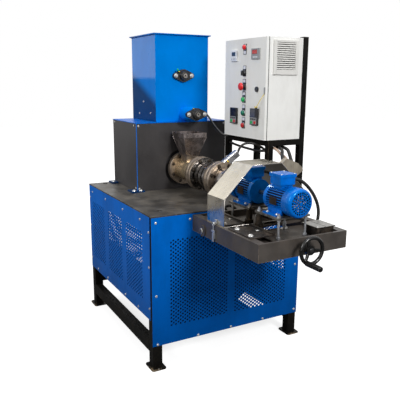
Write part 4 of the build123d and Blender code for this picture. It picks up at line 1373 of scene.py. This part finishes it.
@dataclass
class Hopper(Assembly):
    """The feed hopper, the feed tube and the two oval bearings."""

    bolt_gap: float = 49.5
    bearings: tuple = ((30, 97, 1404), (48, -25, 1194))
    lip_corners: tuple = ((-149, 117), (203, 117), (203, 475), (-149, 475), (-149, 117))
    lip_z: float = 1625.2
    side_screws: tuple = ((-139, 297, 1256), (-139, 199, 1194), (-139, 361, 1186))

    def build(self) -> None:
        """Dress the hopper and add bolts, caps and grease nipples."""
        coat(HOPPER_BLUE, "hopper_body", "hopper_lip", "feed_tube")
        coat(CAST_BLACK, "shaft_bearings")
        coat(BRIGHT_STEEL, "shaft_ends")
        rings, plugs, bolts = Shaper(), Shaper(), []
        for x, y, z in self.bearings:
            pair = [(x + side * self.bolt_gap, y + 15, z) for side in (-1, 1)]
            bolts.append(heads(pair, Facing.FRONT, 8.5, 9.0, washer=12.0))
            rings.lathe(((-2, 12.6), (-2, 20.5), (2.2, 20.5), (4.4, 17.8), (4.4, 12.6), (-2, 12.6)), (x, y, z), FORWARD)
            plugs.lathe(((0, 0), (0, 4.2), (0.4, 4.2), (0.4, 0)), (x, y - 5.1, z), FORWARD, 16)
        bolts.append(heads(self.side_screws, Facing.LEFT, 4.5, 3.5, Head.PAN))
        self.piece("hopper_bolts", bolts, BOLT_STEEL)
        self.piece("bearing_rings", rings, CAST_BLACK)
        self.piece("shaft_centres", plugs, NEAR_BLACK)
        bead = Shaper()
        for start, end in zip(self.lip_corners, self.lip_corners[1:]):
            bead.rod((*start, self.lip_z), (*end, self.lip_z), 2.7, 10)
        self.piece("lip_bead", bead, HOPPER_BLUE)
        self.piece("grease_cap", Shaper().rod((-8, 103, 1428), (-17, 101, 1440), 4.2), CAP_GREEN)
        nipples = Shaper().rod((2, 104, 1421), (-7, 103, 1427), 3.2).rod((26, -18, 1221), (20, -18, 1229), 3.2)
        self.piece("grease_nipples", nipples, BRASS)


@dataclass
class Barrel(Assembly):
    """The barrel: flanges with their bolts, bands, collar, connector and the funnel."""

    axis_x: float = 9.0
    axis_z: float = 886.0
    bolt_circle: float = 76.0
    bolts: int = 8
    flange_radius: float = 90.5
    faces: tuple = ((62.5, Facing.FRONT), (-117, Facing.REAR), (-173, Facing.FRONT), (-314, Facing.REAR),
                    (-370, Facing.FRONT))
    rims: tuple = ((63.2, 93.8), (-144.3, -117.7), (-172.3, -145.7), (-341.3, -314.7), (-369.3, -342.7))
    joints: tuple = (-145, -342)
    funnel_y: float = 4.0
    funnel_edge: tuple = ((36.6, 968.5), (69.1, 1072), (69.1, 1095))

    def ring(self, y: float, facing: Facing) -> Mesh:
        """Return a ring of bolt heads on a flange face."""
        places = [(self.axis_x + x, y, self.axis_z + z) for x, z in circle(self.bolts, self.bolt_circle, 0.5)]
        return heads(places, facing, 8.5, 9.0, washer=10.5, finish=DARK_BOLT)

    def sleeve(self, shaper: Shaper, y0: float, y1: float, outer: float, inner: float, soft: float = 0.1) -> Shaper:
        """Add a ring about the barrel's axis.

        Args:
            shaper: What it is added to.
            y0: Its front end.
            y1: Its rear end.
            outer: Its outer radius.
            inner: Its inner radius.
            soft: How far its outer edges are softened.

        Returns:
            The shaper.
        """
        long = y1 - y0
        profile = ((0, inner), (0, outer - soft), (soft, outer), (long - soft, outer), (long, outer - soft),
                   (long, inner), (0, inner))
        return shaper.lathe(profile, (self.axis_x, y0, self.axis_z), BACKWARD, 72)

    def build(self) -> None:
        """Dress the barrel and add its bolts and small parts."""
        coat(FLANGE_STEEL, "barrel_inlet", "barrel_head")
        coat(BAND_STEEL, "barrel_middle", "heater_bands")
        coat(FUNNEL_STEEL, "feed_funnel")
        coat(CONNECTOR, "heater_connector")
        self.piece("flange_bolts", [self.ring(*face) for face in self.faces], DARK_BOLT)
        self.piece("inlet_skin", self.sleeve(Shaper(), -116.6, 62.1, 60.4, 59.6), BARREL_GOLD)
        rims, gaps, r = Shaper(), Shaper(), self.flange_radius
        for y0, y1 in self.rims:
            self.sleeve(rims, y0, y1, r + 0.5, r - 1.5, 1.4)
        for y in self.joints:
            self.sleeve(gaps, y - 0.9, y + 0.9, r + 0.1, r - 2)
        self.piece("flange_rims", rims, FLANGE_STEEL)
        self.piece("flange_joints", gaps, NEAR_BLACK)
        seams = Shaper()
        for sx, sy in ((-1, -1), (-1, 1), (1, -1), (1, 1)):
            corner = [(self.axis_x + sx * out, self.funnel_y + sy * out, z) for out, z in self.funnel_edge]
            for start, end in zip(corner, corner[1:]):
                seams.rod(start, end, 1.4, 8)
        self.piece("funnel_seams", seams, FUNNEL_STEEL)
        way = Vector((0.84, 0, 0.55)).normalized()
        nut = ((0, 0), (0, 16.5), (2, 17.8), (7, 17.8), (9, 16.5), (9, 0))
        self.piece("connector_nut", Shaper().lathe(nut, Vector((30, -352, 974)) + way * 2, way, 6), BRASS)


@dataclass
class Tray(Assembly):
    """The front tray with its plates, and the latch and pivot on its side."""

    plate_z: float = 758.0
    cover_z: float = 772.0

    def build(self) -> None:
        """Dress the tray and add its bolts and slots."""
        coat(TRAY_BLACK, "tray_frame", "pivot_ear")
        coat(DECK_STEEL, "guide_plates", "carriage_plate")
        coat(ZINC, "guard_latch", "motor_rods")
        coat(DULL_ZINC, "motor_plate")
        coat(DARK_BOLT, "rod_sleeve")
        z, cover = self.plate_z, self.cover_z
        self.piece("tray_bolts", [
            heads(((-176, -788, z), (-182, -899, z)), Facing.UP, 8.5, 6.0, Head.PAN, 12),
            heads([(x, y, cover) for y in (-966, -879) for x in (113, 197)], Facing.UP, 3.6, 3.0, Head.PAN),
            heads(((82, -792, 731), (60, -790, 731)), Facing.UP, 6.0, 6.0),
            heads(((-228.6, -566, 701),), Facing.LEFT, 10.5, 4.0, Head.PAN)], BOLT_STEEL)
        skin = Shaper().block((105, -975, cover - 0.4), (205, -870, cover + 0.5), 0.3)
        self.piece("cover_skin", skin, COVER_GREY)
        dark = Shaper().block((152, -974.5, cover + 0.4), (154.5, -870.5, cover + 0.8))
        # painted shade: this dark block stands in for the shade inside the guide plate's slot
        dark.block((-122, -872, z - 0.1), (-104, -828, z + 0.3), 0.1)
        self.piece("plate_slots", dark, NEAR_BLACK)
        disc = Shaper().lathe(((0, 0), (0, 7.5), (1.5, 7), (1.5, 0)), (-112, -846, z + 0.2), UPWARD, 24)
        self.piece("slot_disc", disc, BOLT_STEEL)
        collar = ((0, 7.8), (0, 12.5), (2, 12.5), (2.6, 7.8), (0, 7.8))
        self.piece("hose_collar", Shaper().lathe(collar, (213, -850, 759.6), UPWARD, 28), DARK_PLASTIC)


@dataclass
class Guard(Assembly):
    """The stainless hood over the cutter and the box on its slope."""

    outline: tuple = ((-210.5, 755), (-210.5, 878), (-70.5, 1018), (88.5, 1018), (228.5, 878), (228.5, 755),
                      (-210.5, 755))
    middle: tuple = (9, 860)
    seam_in: float = 0.7
    front: float = -736.4

    def build(self) -> None:
        """Dress the guard and run its weld seams just inside its outline."""
        coat(GUARD_STEEL, "cutter_guard")
        coat(BOX_STEEL, "guard_box")
        middle, seams = Vector(self.middle), Shaper()
        corners = [Vector(c) + (middle - Vector(c)).normalized() * self.seam_in for c in self.outline]
        for a, b in zip(corners, corners[1:]):
            seams.rod((a.x, self.front, a.y), (b.x, self.front, b.y), 1.7, 10)
        self.piece("guard_seams", seams, BRIGHT_STEEL)


@dataclass
class CutterMotor(Assembly):
    """The finned cutter motor with its cowl and terminal box."""

    axis_x: float = 9.0
    axis_z: float = 886.0
    front: float = -978.5
    rear: float = -922.0
    radius: float = 62.5
    hole: float = 4.5
    rings: tuple = ((6, 11.8, 0.0), (12, 22.8, 0.5), (18, 34.0, 0.0), (24, 44.7, 0.5))
    blades: int = 7
    blade_at: float = 23.0
    blade_half: tuple = (12, 6, 2.8)

    def turned(self, profile: Sequence[tuple], y: float, steps: int) -> Shaper:
        """Return a shaper with a body turned about the motor's axis."""
        return Shaper().lathe(profile, (self.axis_x, y, self.axis_z), BACKWARD, steps)

    def build(self) -> None:
        """Dress the motor and make its open cowl."""
        coat(MOTOR_BLUE, "motor_body", "terminal_box")
        coat(BRIGHT_STEEL, "motor_shaft")
        self.cowl()
        self.fan()
        # painted shade: a navy sleeve at the roots of the fins darkens the gaps between them
        ground = self.turned(((0, 49), (0, 50.6), (112, 50.6), (112, 49), (0, 49)), -921, 64)
        self.piece("fin_root_shade", ground, FIN_SHADE_NAVY)
        self.piece("blank_plate", Shaper().block((-50.2, -886, 868), (-47.4, -838, 899), 0.4), PLATE_BROWN)
        lid = [(self.axis_x + x, -849 + y, 996) for x in (-34, 34) for y in (-36, 36)]
        feet = [(x, y, 829) for x in (-44, 62) for y in (-888, -822)]
        self.piece("motor_bolts", [heads(lid, Facing.UP, 3.2, 2.4, Head.PAN), heads(feet, Facing.UP, 6.0, 5.0)],
                   BOLT_STEEL)
        gland = ((0, 0), (0, 10.5), (4, 11.2), (10, 11.2), (12.2, 8.5), (12.2, 0))
        self.piece("gland_nut", Shaper().lathe(gland, (47, -850, 967), (1, 0, 0), 12), DARK_PLASTIC)

    def cowl(self) -> None:
        """Make the fan cowl with its rings of holes."""
        long, r = self.rear - self.front, self.radius
        shell = self.turned(((0, r - 12.5), (0.6, r - 7.5), (4.5, r - 2.5), (12, r), (long, r), (long, r - 2),
                             (12.5, r - 2), (6, r - 5), (2.2, r - 12.5), (0, r - 12.5)), self.front, 64)
        places = [mm(x, z, 0) for count, around, turn in self.rings for x, z in circle(count, around, turn)]
        face = Pattern.bake("slots", points_mesh(places), {
            "Radius": (r - 12.2) / 1000, "Hole": self.hole / 1000, "Thickness": 0.0016,
            "Place": mm(self.axis_x, self.front + 2.0, self.axis_z), "Turn": Facing.FRONT.value,
            "Material": MOTOR_BLUE.material()})
        self.piece("fan_cowl", [(shell, MOTOR_BLUE), face], MOTOR_BLUE, "motor_cowl")
        # painted shade: a near black disc behind the fan darkens the inside of the cowl
        back = self.turned(((0, 0), (0, r - 4), (12, r - 4), (12, 0)), self.front + 34, 32)
        self.piece("cowl_inside_shade", back, NEAR_BLACK)

    def fan(self) -> None:
        """Make the fan behind the holes of the cowl."""
        fan = self.turned(((0, 0), (0, 13), (16, 13), (16, 0)), self.front + 9, 24)
        size = Vector(self.blade_half)
        for k, (x, z) in enumerate(circle(self.blades, self.blade_at)):
            middle = Vector((self.axis_x + x, self.front + 17, self.axis_z + z))
            turn = Matrix.Rotation(-2 * math.pi * k / self.blades, 3, "Y")
            fan.block(middle - size, middle + size, 1, turn)
        self.piece("cooling_fan", fan, FAN_CREAM)


@dataclass
class Handwheel(Assembly):
    """The dished handwheel with its grip."""

    body = Body.WHEEL
    hub: tuple = (9, -1054.5, 709)
    grip_end: tuple = (-22.3, -1151.9, 664.4)

    def build(self) -> None:
        """Dress the wheel and add its hub cap and the grip's end screw."""
        coat(GLOSS_BLACK, "handwheel", "wheel_grip")
        coat(BRIGHT_STEEL, "wheel_shaft")
        cap = Shaper().lathe(((-1, 0), (-1, 11), (1.5, 11), (3, 8), (3, 0)), self.hub, FORWARD, 28)
        self.piece("hub_cap", cap, DARK_PLASTIC)
        screw = Shaper().lathe(((-1, 0), (-1, 5.2), (0, 5.2), (0, 2.8), (-0.8, 2.8), (-0.8, 0)), self.grip_end,
                               FORWARD, 20)
        self.piece("grip_screw", screw, BRIGHT_STEEL)


@dataclass
class Cabinet(Assembly):
    """The control cabinet on its stand, with its fan filter and the door's gasket."""

    filter_low: tuple = (222, 1407)
    filter_high: tuple = (372, 1572)
    grille_low: tuple = (240, 1431)
    grille_high: tuple = (354, 1561)
    face: float = -462.0
    thick: float = 9.0
    blades: int = 13
    blade: tuple = (1.5, 6.4)
    tilt: float = -0.45
    gasket: tuple = ((-462, -452, 1088, 1584), (-99, -89, 1088, 1584), (-452, -99, 1088, 1097),
                     (-452, -99, 1575, 1584))

    def build(self) -> None:
        """Dress the cabinet and make its filter and the gasket."""
        coat(FRAME_BLACK, "cabinet_frame")
        coat(CABINET, "cabinet_body", "cabinet_door")
        self.filter()
        seal = Shaper()
        for y0, y1, z0, z1 in self.gasket:
            seal.block((197.1, y0, z0), (198.6, y1, z1))
        seal.block((195.4, -463.6, 1086.6), (198.8, -460, 1585.4))
        self.piece("door_gasket", seal, NEAR_BLACK, body=Body.DOOR)

    def filter(self) -> None:
        """Make the fan filter: a frame, tilted blades and a dark ground behind them as painted shade."""
        (x0, z0), (x1, z1) = self.filter_low, self.filter_high
        (a0, c0), (a1, c1) = self.grille_low, self.grille_high
        bars = Shaper()
        for xa, za, xb, zb in ((x0, z0, a0, z1), (a1, z0, x1, z1), (a0, z0, a1, c0), (a0, c1, a1, z1)):
            bars.block((xa, self.face - self.thick, za), (xb, self.face, zb), 1.2)
        pitch = (c1 - c0) / self.blades
        blades = Pattern.bake("blades", points_mesh(), {
            "Count": self.blades, "Pitch": pitch / 1000, "Size": mm(a1 - a0, *self.blade),
            "Tilt": (self.tilt, 0.0, 0.0), "First": mm((a0 + a1) / 2, self.face - 4.8, c0 + pitch / 2),
            "Material": FILTER_GREY.material()})
        # painted shade: a near black ground behind the blades darkens the gaps between them
        dark = Shaper().block((a0, self.face - 1.2, c0), (a1, self.face - 0.2, c1))
        self.piece("filter_cover", [(bars, FILTER_GREY), blades, (dark, NEAR_BLACK)], FILTER_GREY, "fan_filter")


@dataclass
class DoorDevices(Assembly):
    """Lamp, buttons, switches, meters and keypads on the cabinet door."""

    body = Body.DOOR
    face: float = 181.0
    column: float = -277.0
    lamp: float = 1543.0
    selector: float = 1416.0
    stop: float = 1348.0
    buttons: tuple = ((1282.0, CAP_GREEN), (1214.0, CAP_TEAL), (1150.0, CAP_RED))
    legends: tuple = (1518.0, 1443.0, 1376.0, 1312.0, 1246.0, 1182.0)
    grounds: tuple = ((1526, 1560), (1399, 1436), (1331, 1369), (1265, 1305), (1197, 1239), (1133, 1175))
    keypads_at: tuple = ((-221, -160, 1154), (-412, -350, 1158))
    bow_loops: tuple = (((-411, 1247), (-402, 1254), (-398, 1248), (-411, 1246)),
                        ((-411, 1247), (-420, 1255), (-424, 1249), (-411, 1246)))

    def slabs(self, *slabs: tuple, bevel: float = 0.4) -> Shaper:
        """Make flat parts on the door.

        Args:
            slabs: Their edges in Y and Z and their inner and outer distance from the face.
            bevel: How far their edges are rounded.

        Returns:
            A shaper with all of them.
        """
        shaper = Shaper()
        for y0, y1, z0, z1, near, far in slabs:
            shaper.block((self.face - far, y0, z0), (self.face - near, y1, z1), bevel)
        return shaper

    def turned(self, profile: Sequence[tuple], *heights: float, steps: int = 32) -> Shaper:
        """Make the same turned body at heights in the column of buttons.

        Args:
            profile: Pairs of distance from the face and radius.
            heights: Where the bodies sit.
            steps: Faces round each.

        Returns:
            A shaper with all of them.
        """
        shaper = Shaper()
        for z in heights:
            shaper.lathe(profile, (self.face, self.column, z), (-1, 0, 0), steps)
        return shaper

    def build(self) -> None:
        """Make the devices."""
        self.buttons_and_lamp()
        self.switches()
        self.meters()
        self.keypads()
        self.lock_and_tag()

    def buttons_and_lamp(self) -> None:
        """Make the collars, the caps, the lamp and the plates behind them."""
        collars = self.turned(((0, 0), (0, 15), (3, 15), (4, 13.6), (4, 0)), self.lamp, *dict(self.buttons))
        lens = self.turned(((3.5, 0), (3.5, 12.5), (10, 12.5), (13, 10), (14, 5), (14, 0)), self.lamp)
        caps = [(self.turned(((3.5, 0), (3.5, 12), (11, 12), (12.6, 10.6), (13, 0)), z), finish)
                for z, finish in self.buttons]
        self.piece("lamp_and_buttons", [(collars, COLLAR_GREY), (lens, LAMP_RED), *caps], COLLAR_GREY, "push_buttons")
        y0, y1 = self.column - 14, self.column + 14
        plates = self.slabs(*((y0, y1, z - 10, z + 10, 0, 1.6) for z in self.legends))
        blanks = self.slabs(*((y0 + 3, y1 - 3, z - 7.5, z + 7.5, 1.4, 2.0) for z in self.legends), bevel=0.2)
        grounds = self.slabs(*((y0 - 1, y1 + 1, low, high, 0, 1.2) for low, high in self.grounds))
        self.piece("legends", [(plates, DARK_PLASTIC), (blanks, BLANK_WHITE)], BLANK_WHITE, "legend_plates")
        self.piece("button_grounds", grounds, DARK_PLASTIC)

    def switches(self) -> None:
        """Make the selector switch and the emergency stop."""
        y, z = self.column, self.selector
        switch = self.turned(((0, 0), (0, 15), (3, 15), (4, 13), (8, 12), (8, 0)), z)
        switch.block((self.face - 22, y - 4, z - 13), (self.face - 7, y + 4, z + 13), 1.2)
        line = self.slabs((y - 0.8, y + 0.8, z + 3, z + 12, 21.6, 22.2), bevel=0.1)
        self.piece("selector", [(switch, DARK_PLASTIC), (line, BLANK_WHITE)], DARK_PLASTIC, "selector_switch")
        neck = self.turned(((0, 0), (0, 15), (5, 15), (6, 11), (20, 11), (20, 0)), self.stop)
        head = self.turned(((19, 0), (19, 17), (20.5, 19.6), (24, 20), (27.5, 18.2), (30, 13), (31, 6), (31, 0)),
                           self.stop, steps=40)
        self.piece("stop_button", [(neck, DARK_PLASTIC), (head, STOP_RED)], STOP_RED, "emergency_stop")

    def meters(self) -> None:
        """Make the white controller and the grey meter with its lit digits."""
        white = self.slabs((-210, -150, 1476, 1534, 0, 9), bevel=4)
        window = self.slabs((-199, -164, 1503, 1523, 8.6, 9.3),
                            *((y - 3, y + 3, 1486, 1490, 8.8, 9.4) for y in (-195, -180, -165)), bevel=0.5)
        grey = self.slabs((-412, -342, 1482, 1534, 0, 7), bevel=1)
        red = self.slabs((-394, -350, 1506, 1528, 6.6, 7.3), bevel=0.3)
        keys = self.slabs(*((y - 4, y + 4, 1488, 1496, 6.6, 7.6) for y in (-392, -377, -362)), bevel=0.6)
        self.piece("meters", [(white, WHITE_PLASTIC), (window, SCREEN_GREY), (grey, GREY_PLASTIC), (red, SCREEN_RED),
                              (keys, WHITE_PLASTIC)], WHITE_PLASTIC, "door_meters")
        bars = []
        for y in (-385, -372, -359):
            bars += [(y - 3, y + 3, z - 0.8, z + 0.8, 7.2, 7.5) for z in (1511, 1523)]
            bars += [(y + side - 0.7, y + side + 0.7, 1511, 1523, 7.2, 7.5) for side in (-3, 3)]
        self.piece("lit_digits", self.slabs(*bars, bevel=0), DIGIT_RED)

    def keypads(self) -> None:
        """Make the two drive keypads with their dark displays and their keys."""
        parts = []
        for y0, y1, z0 in self.keypads_at:
            keys = [(y0 + 8 + 17 * k, y0 + 20 + 17 * k, z0 + 26, z0 + 34, 12.2, 13.4) for k in range(3)]
            parts += [(self.slabs((y0, y1, z0, z0 + 83, 0, 12), bevel=1.2), DARK_PLASTIC),
                      (self.slabs((y0 + 3, y1 - 3, z0 + 40, z0 + 80, 11.5, 13.2), bevel=0.6), SCREEN_NAVY),
                      (self.slabs((y0 + 3, y1 - 3, z0 + 4, z0 + 38, 11.5, 12.6), bevel=0.6), GREY_PLASTIC),
                      (self.slabs(*keys, bevel=0.6), DARK_PLASTIC),
                      (self.slabs((y1 - 25, y1 - 8, z0 + 7, z0 + 20, 12.2, 14), bevel=0.8), CAP_GREEN),
                      (self.slabs((y0 + 8, y0 + 25, z0 + 7, z0 + 20, 12.2, 14), bevel=0.8), CAP_RED)]
        self.piece("keypads", parts, DARK_PLASTIC, "drive_keypads")

    def lock_and_tag(self) -> None:
        """Dress the lock and the tag, and add the catch at the door's edge and the bow of the string."""
        coat(DARK_PLASTIC, "door_lock", "door_tag")
        self.piece("lock_slit", self.slabs((-394.2, -391.8, 1330, 1342, 6.8, 7.3), bevel=0.1), BRIGHT_STEEL)
        self.piece("edge_catch", self.slabs((-462.5, -451, 1312, 1346, 0, 1.4)), GREY_PLASTIC)
        bow, x = Shaper(), self.face - 17.5
        for loop in self.bow_loops:
            for start, end in zip(loop, loop[1:]):
                bow.rod((x, *start), (x, *end), 1.3, 8)
        self.piece("string_bow", bow, STRING_YELLOW)


@dataclass
class Cord(Assembly):
    """A cable, or a corrugated hose, along its route; its diameter and route are in millimetres."""

    name: str
    diameter: float
    length: float
    route: tuple
    lay: Lay = Lay.CABLE
    finish: Finish = SHEATH
    body: Body = Body.MACHINE
    far_end: str = "object"
    stiffness: str = "medium"
    carries: tuple = ()
    rib_share: float = 0.11
    rib_step: float = 0.0016

    def build(self) -> None:
        radius = self.diameter / 2000
        curve = bpy.data.curves.new(self.name, "CURVE")
        curve.dimensions = "3D"
        spline = curve.splines.new("NURBS")
        spline.points.add(len(self.route) - 1)
        for point, place in zip(spline.points, self.route):
            point.co = (*mm(*place), 1.0)
        spline.order_u = 3
        spline.use_endpoint_u = True
        spline.resolution_u = 12
        line = bpy.data.objects.new(f"{self.name}_line", curve)
        bpy.context.scene.collection.objects.link(line)
        path = None
        if self.lay is Lay.HOSE:
            wire = plain_mesh(line)
            path = [tuple(v.co) for v in wire.vertices]
            bpy.data.objects.remove(line)
            tube = Pattern.bake("hose", wire, {"Radius": radius, "Rib": radius * self.rib_share, "Steps": 20,
                                               "Rib step": self.rib_step, "Material": self.finish.material()})
            for face in tube.polygons:
                face.use_smooth = True
            made = self.piece(f"{self.name}_tube", tube, self.finish, self.name)
        else:
            made = line
            curve.bevel_depth = radius
            curve.bevel_resolution = 4
            curve.use_fill_caps = True
            curve.materials.append(self.finish.material())
            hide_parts(self.name)
            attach(line, self.body.value)
        mm(*self.route[0])
        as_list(self.carries)
        LOG.info("cord %s", self.name)


CORDS = (
    Cord("motor_hose", 15, 0.287, (
        (59, -850, 967), (84, -850, 964), (115, -850, 951), (147, -850, 926.5), (175, -850, 896), (198, -850, 862),
        (212.5, -850, 828), (217.5, -850, 797), (215, -850, 774), (213, -850, 759)), Lay.HOSE),
    Cord("feed_conduit", 11, 0.246, (
        (180, 130, 1192), (181, 105, 1180), (184, 78, 1160), (187, 48, 1134), (187, 10, 1111), (187, -28, 1093),
        (192, -50, 1083), (202, -64, 1076), (214, -72, 1070.5))),
    Cord("heater_cable", 12, 0.459, (
        (99, -351, 1016), (105, -354, 1034), (114, -361, 1055), (133, -372, 1067), (160, -384, 1068),
        (187, -392, 1060), (214, -398, 1047), (241, -400, 1025), (260, -401, 998), (272, -402, 966), (279, -402, 925),
        (284, -401, 872), (288, -400, 815), (288, -400, 766))),
    Cord("beam_cable", 13, 0.359, (
        (224, -79, 1040), (224, -110, 1035), (223, -160, 1030), (221, -220, 1026), (218, -285, 1024),
        (215, -345, 1023), (216, -395, 1025), (221, -436, 1032))),
    Cord("guard_hose", 16, 0.452, (
        (300, -322, 1092), (298, -362, 1066), (291, -415, 1048), (272, -475, 1046), (240, -532, 1049),
        (205, -585, 1047), (160, -642, 1042), (136, -676, 1030), (125, -698, 1023), (120, -712, 1020)), Lay.HOSE),
    Cord("switch_hose", 16, 0.438, (
        (330, -330, 1092), (328, -370, 1066), (320, -422, 1048), (302, -478, 1046), (275, -535, 1046),
        (240, -590, 1041), (208, -640, 1032), (187, -676, 1018), (178, -698, 1005), (174, -712, 996)), Lay.HOSE),
    Cord("pale_conduit", 13, 0.425, (
        (262, -322, 1091), (261, -362, 1066), (256, -415, 1049), (246, -468, 1045), (228, -520, 1040),
        (209, -565, 1031), (189, -610, 1029), (170, -650, 1030), (155, -684, 1022), (146, -712, 1009)
    ), Lay.CABLE, PALE_SHEATH),
    Cord("tag_string", 3, 0.089, (
        (183, -457, 1321), (173, -446, 1296), (166, -432, 1272), (164.7, -413, 1247)
    ), Lay.CABLE, STRING_YELLOW, Body.DOOR, "knot", "limp", ("door_tag",)),
)


def main() -> None:
    """Build the machine's looks."""
    Studio().build()
    for cord in CORDS:
        cord.build()
    for assembly in (Table(), Housing(), Hopper(), Barrel(), Tray(), Guard(), CutterMotor(), Handwheel(), Cabinet(),
                     DoorDevices()):
        assembly.build()
        LOG.info("built %s", type(assembly).__name__)


if __name__ == "__main__":
    main()
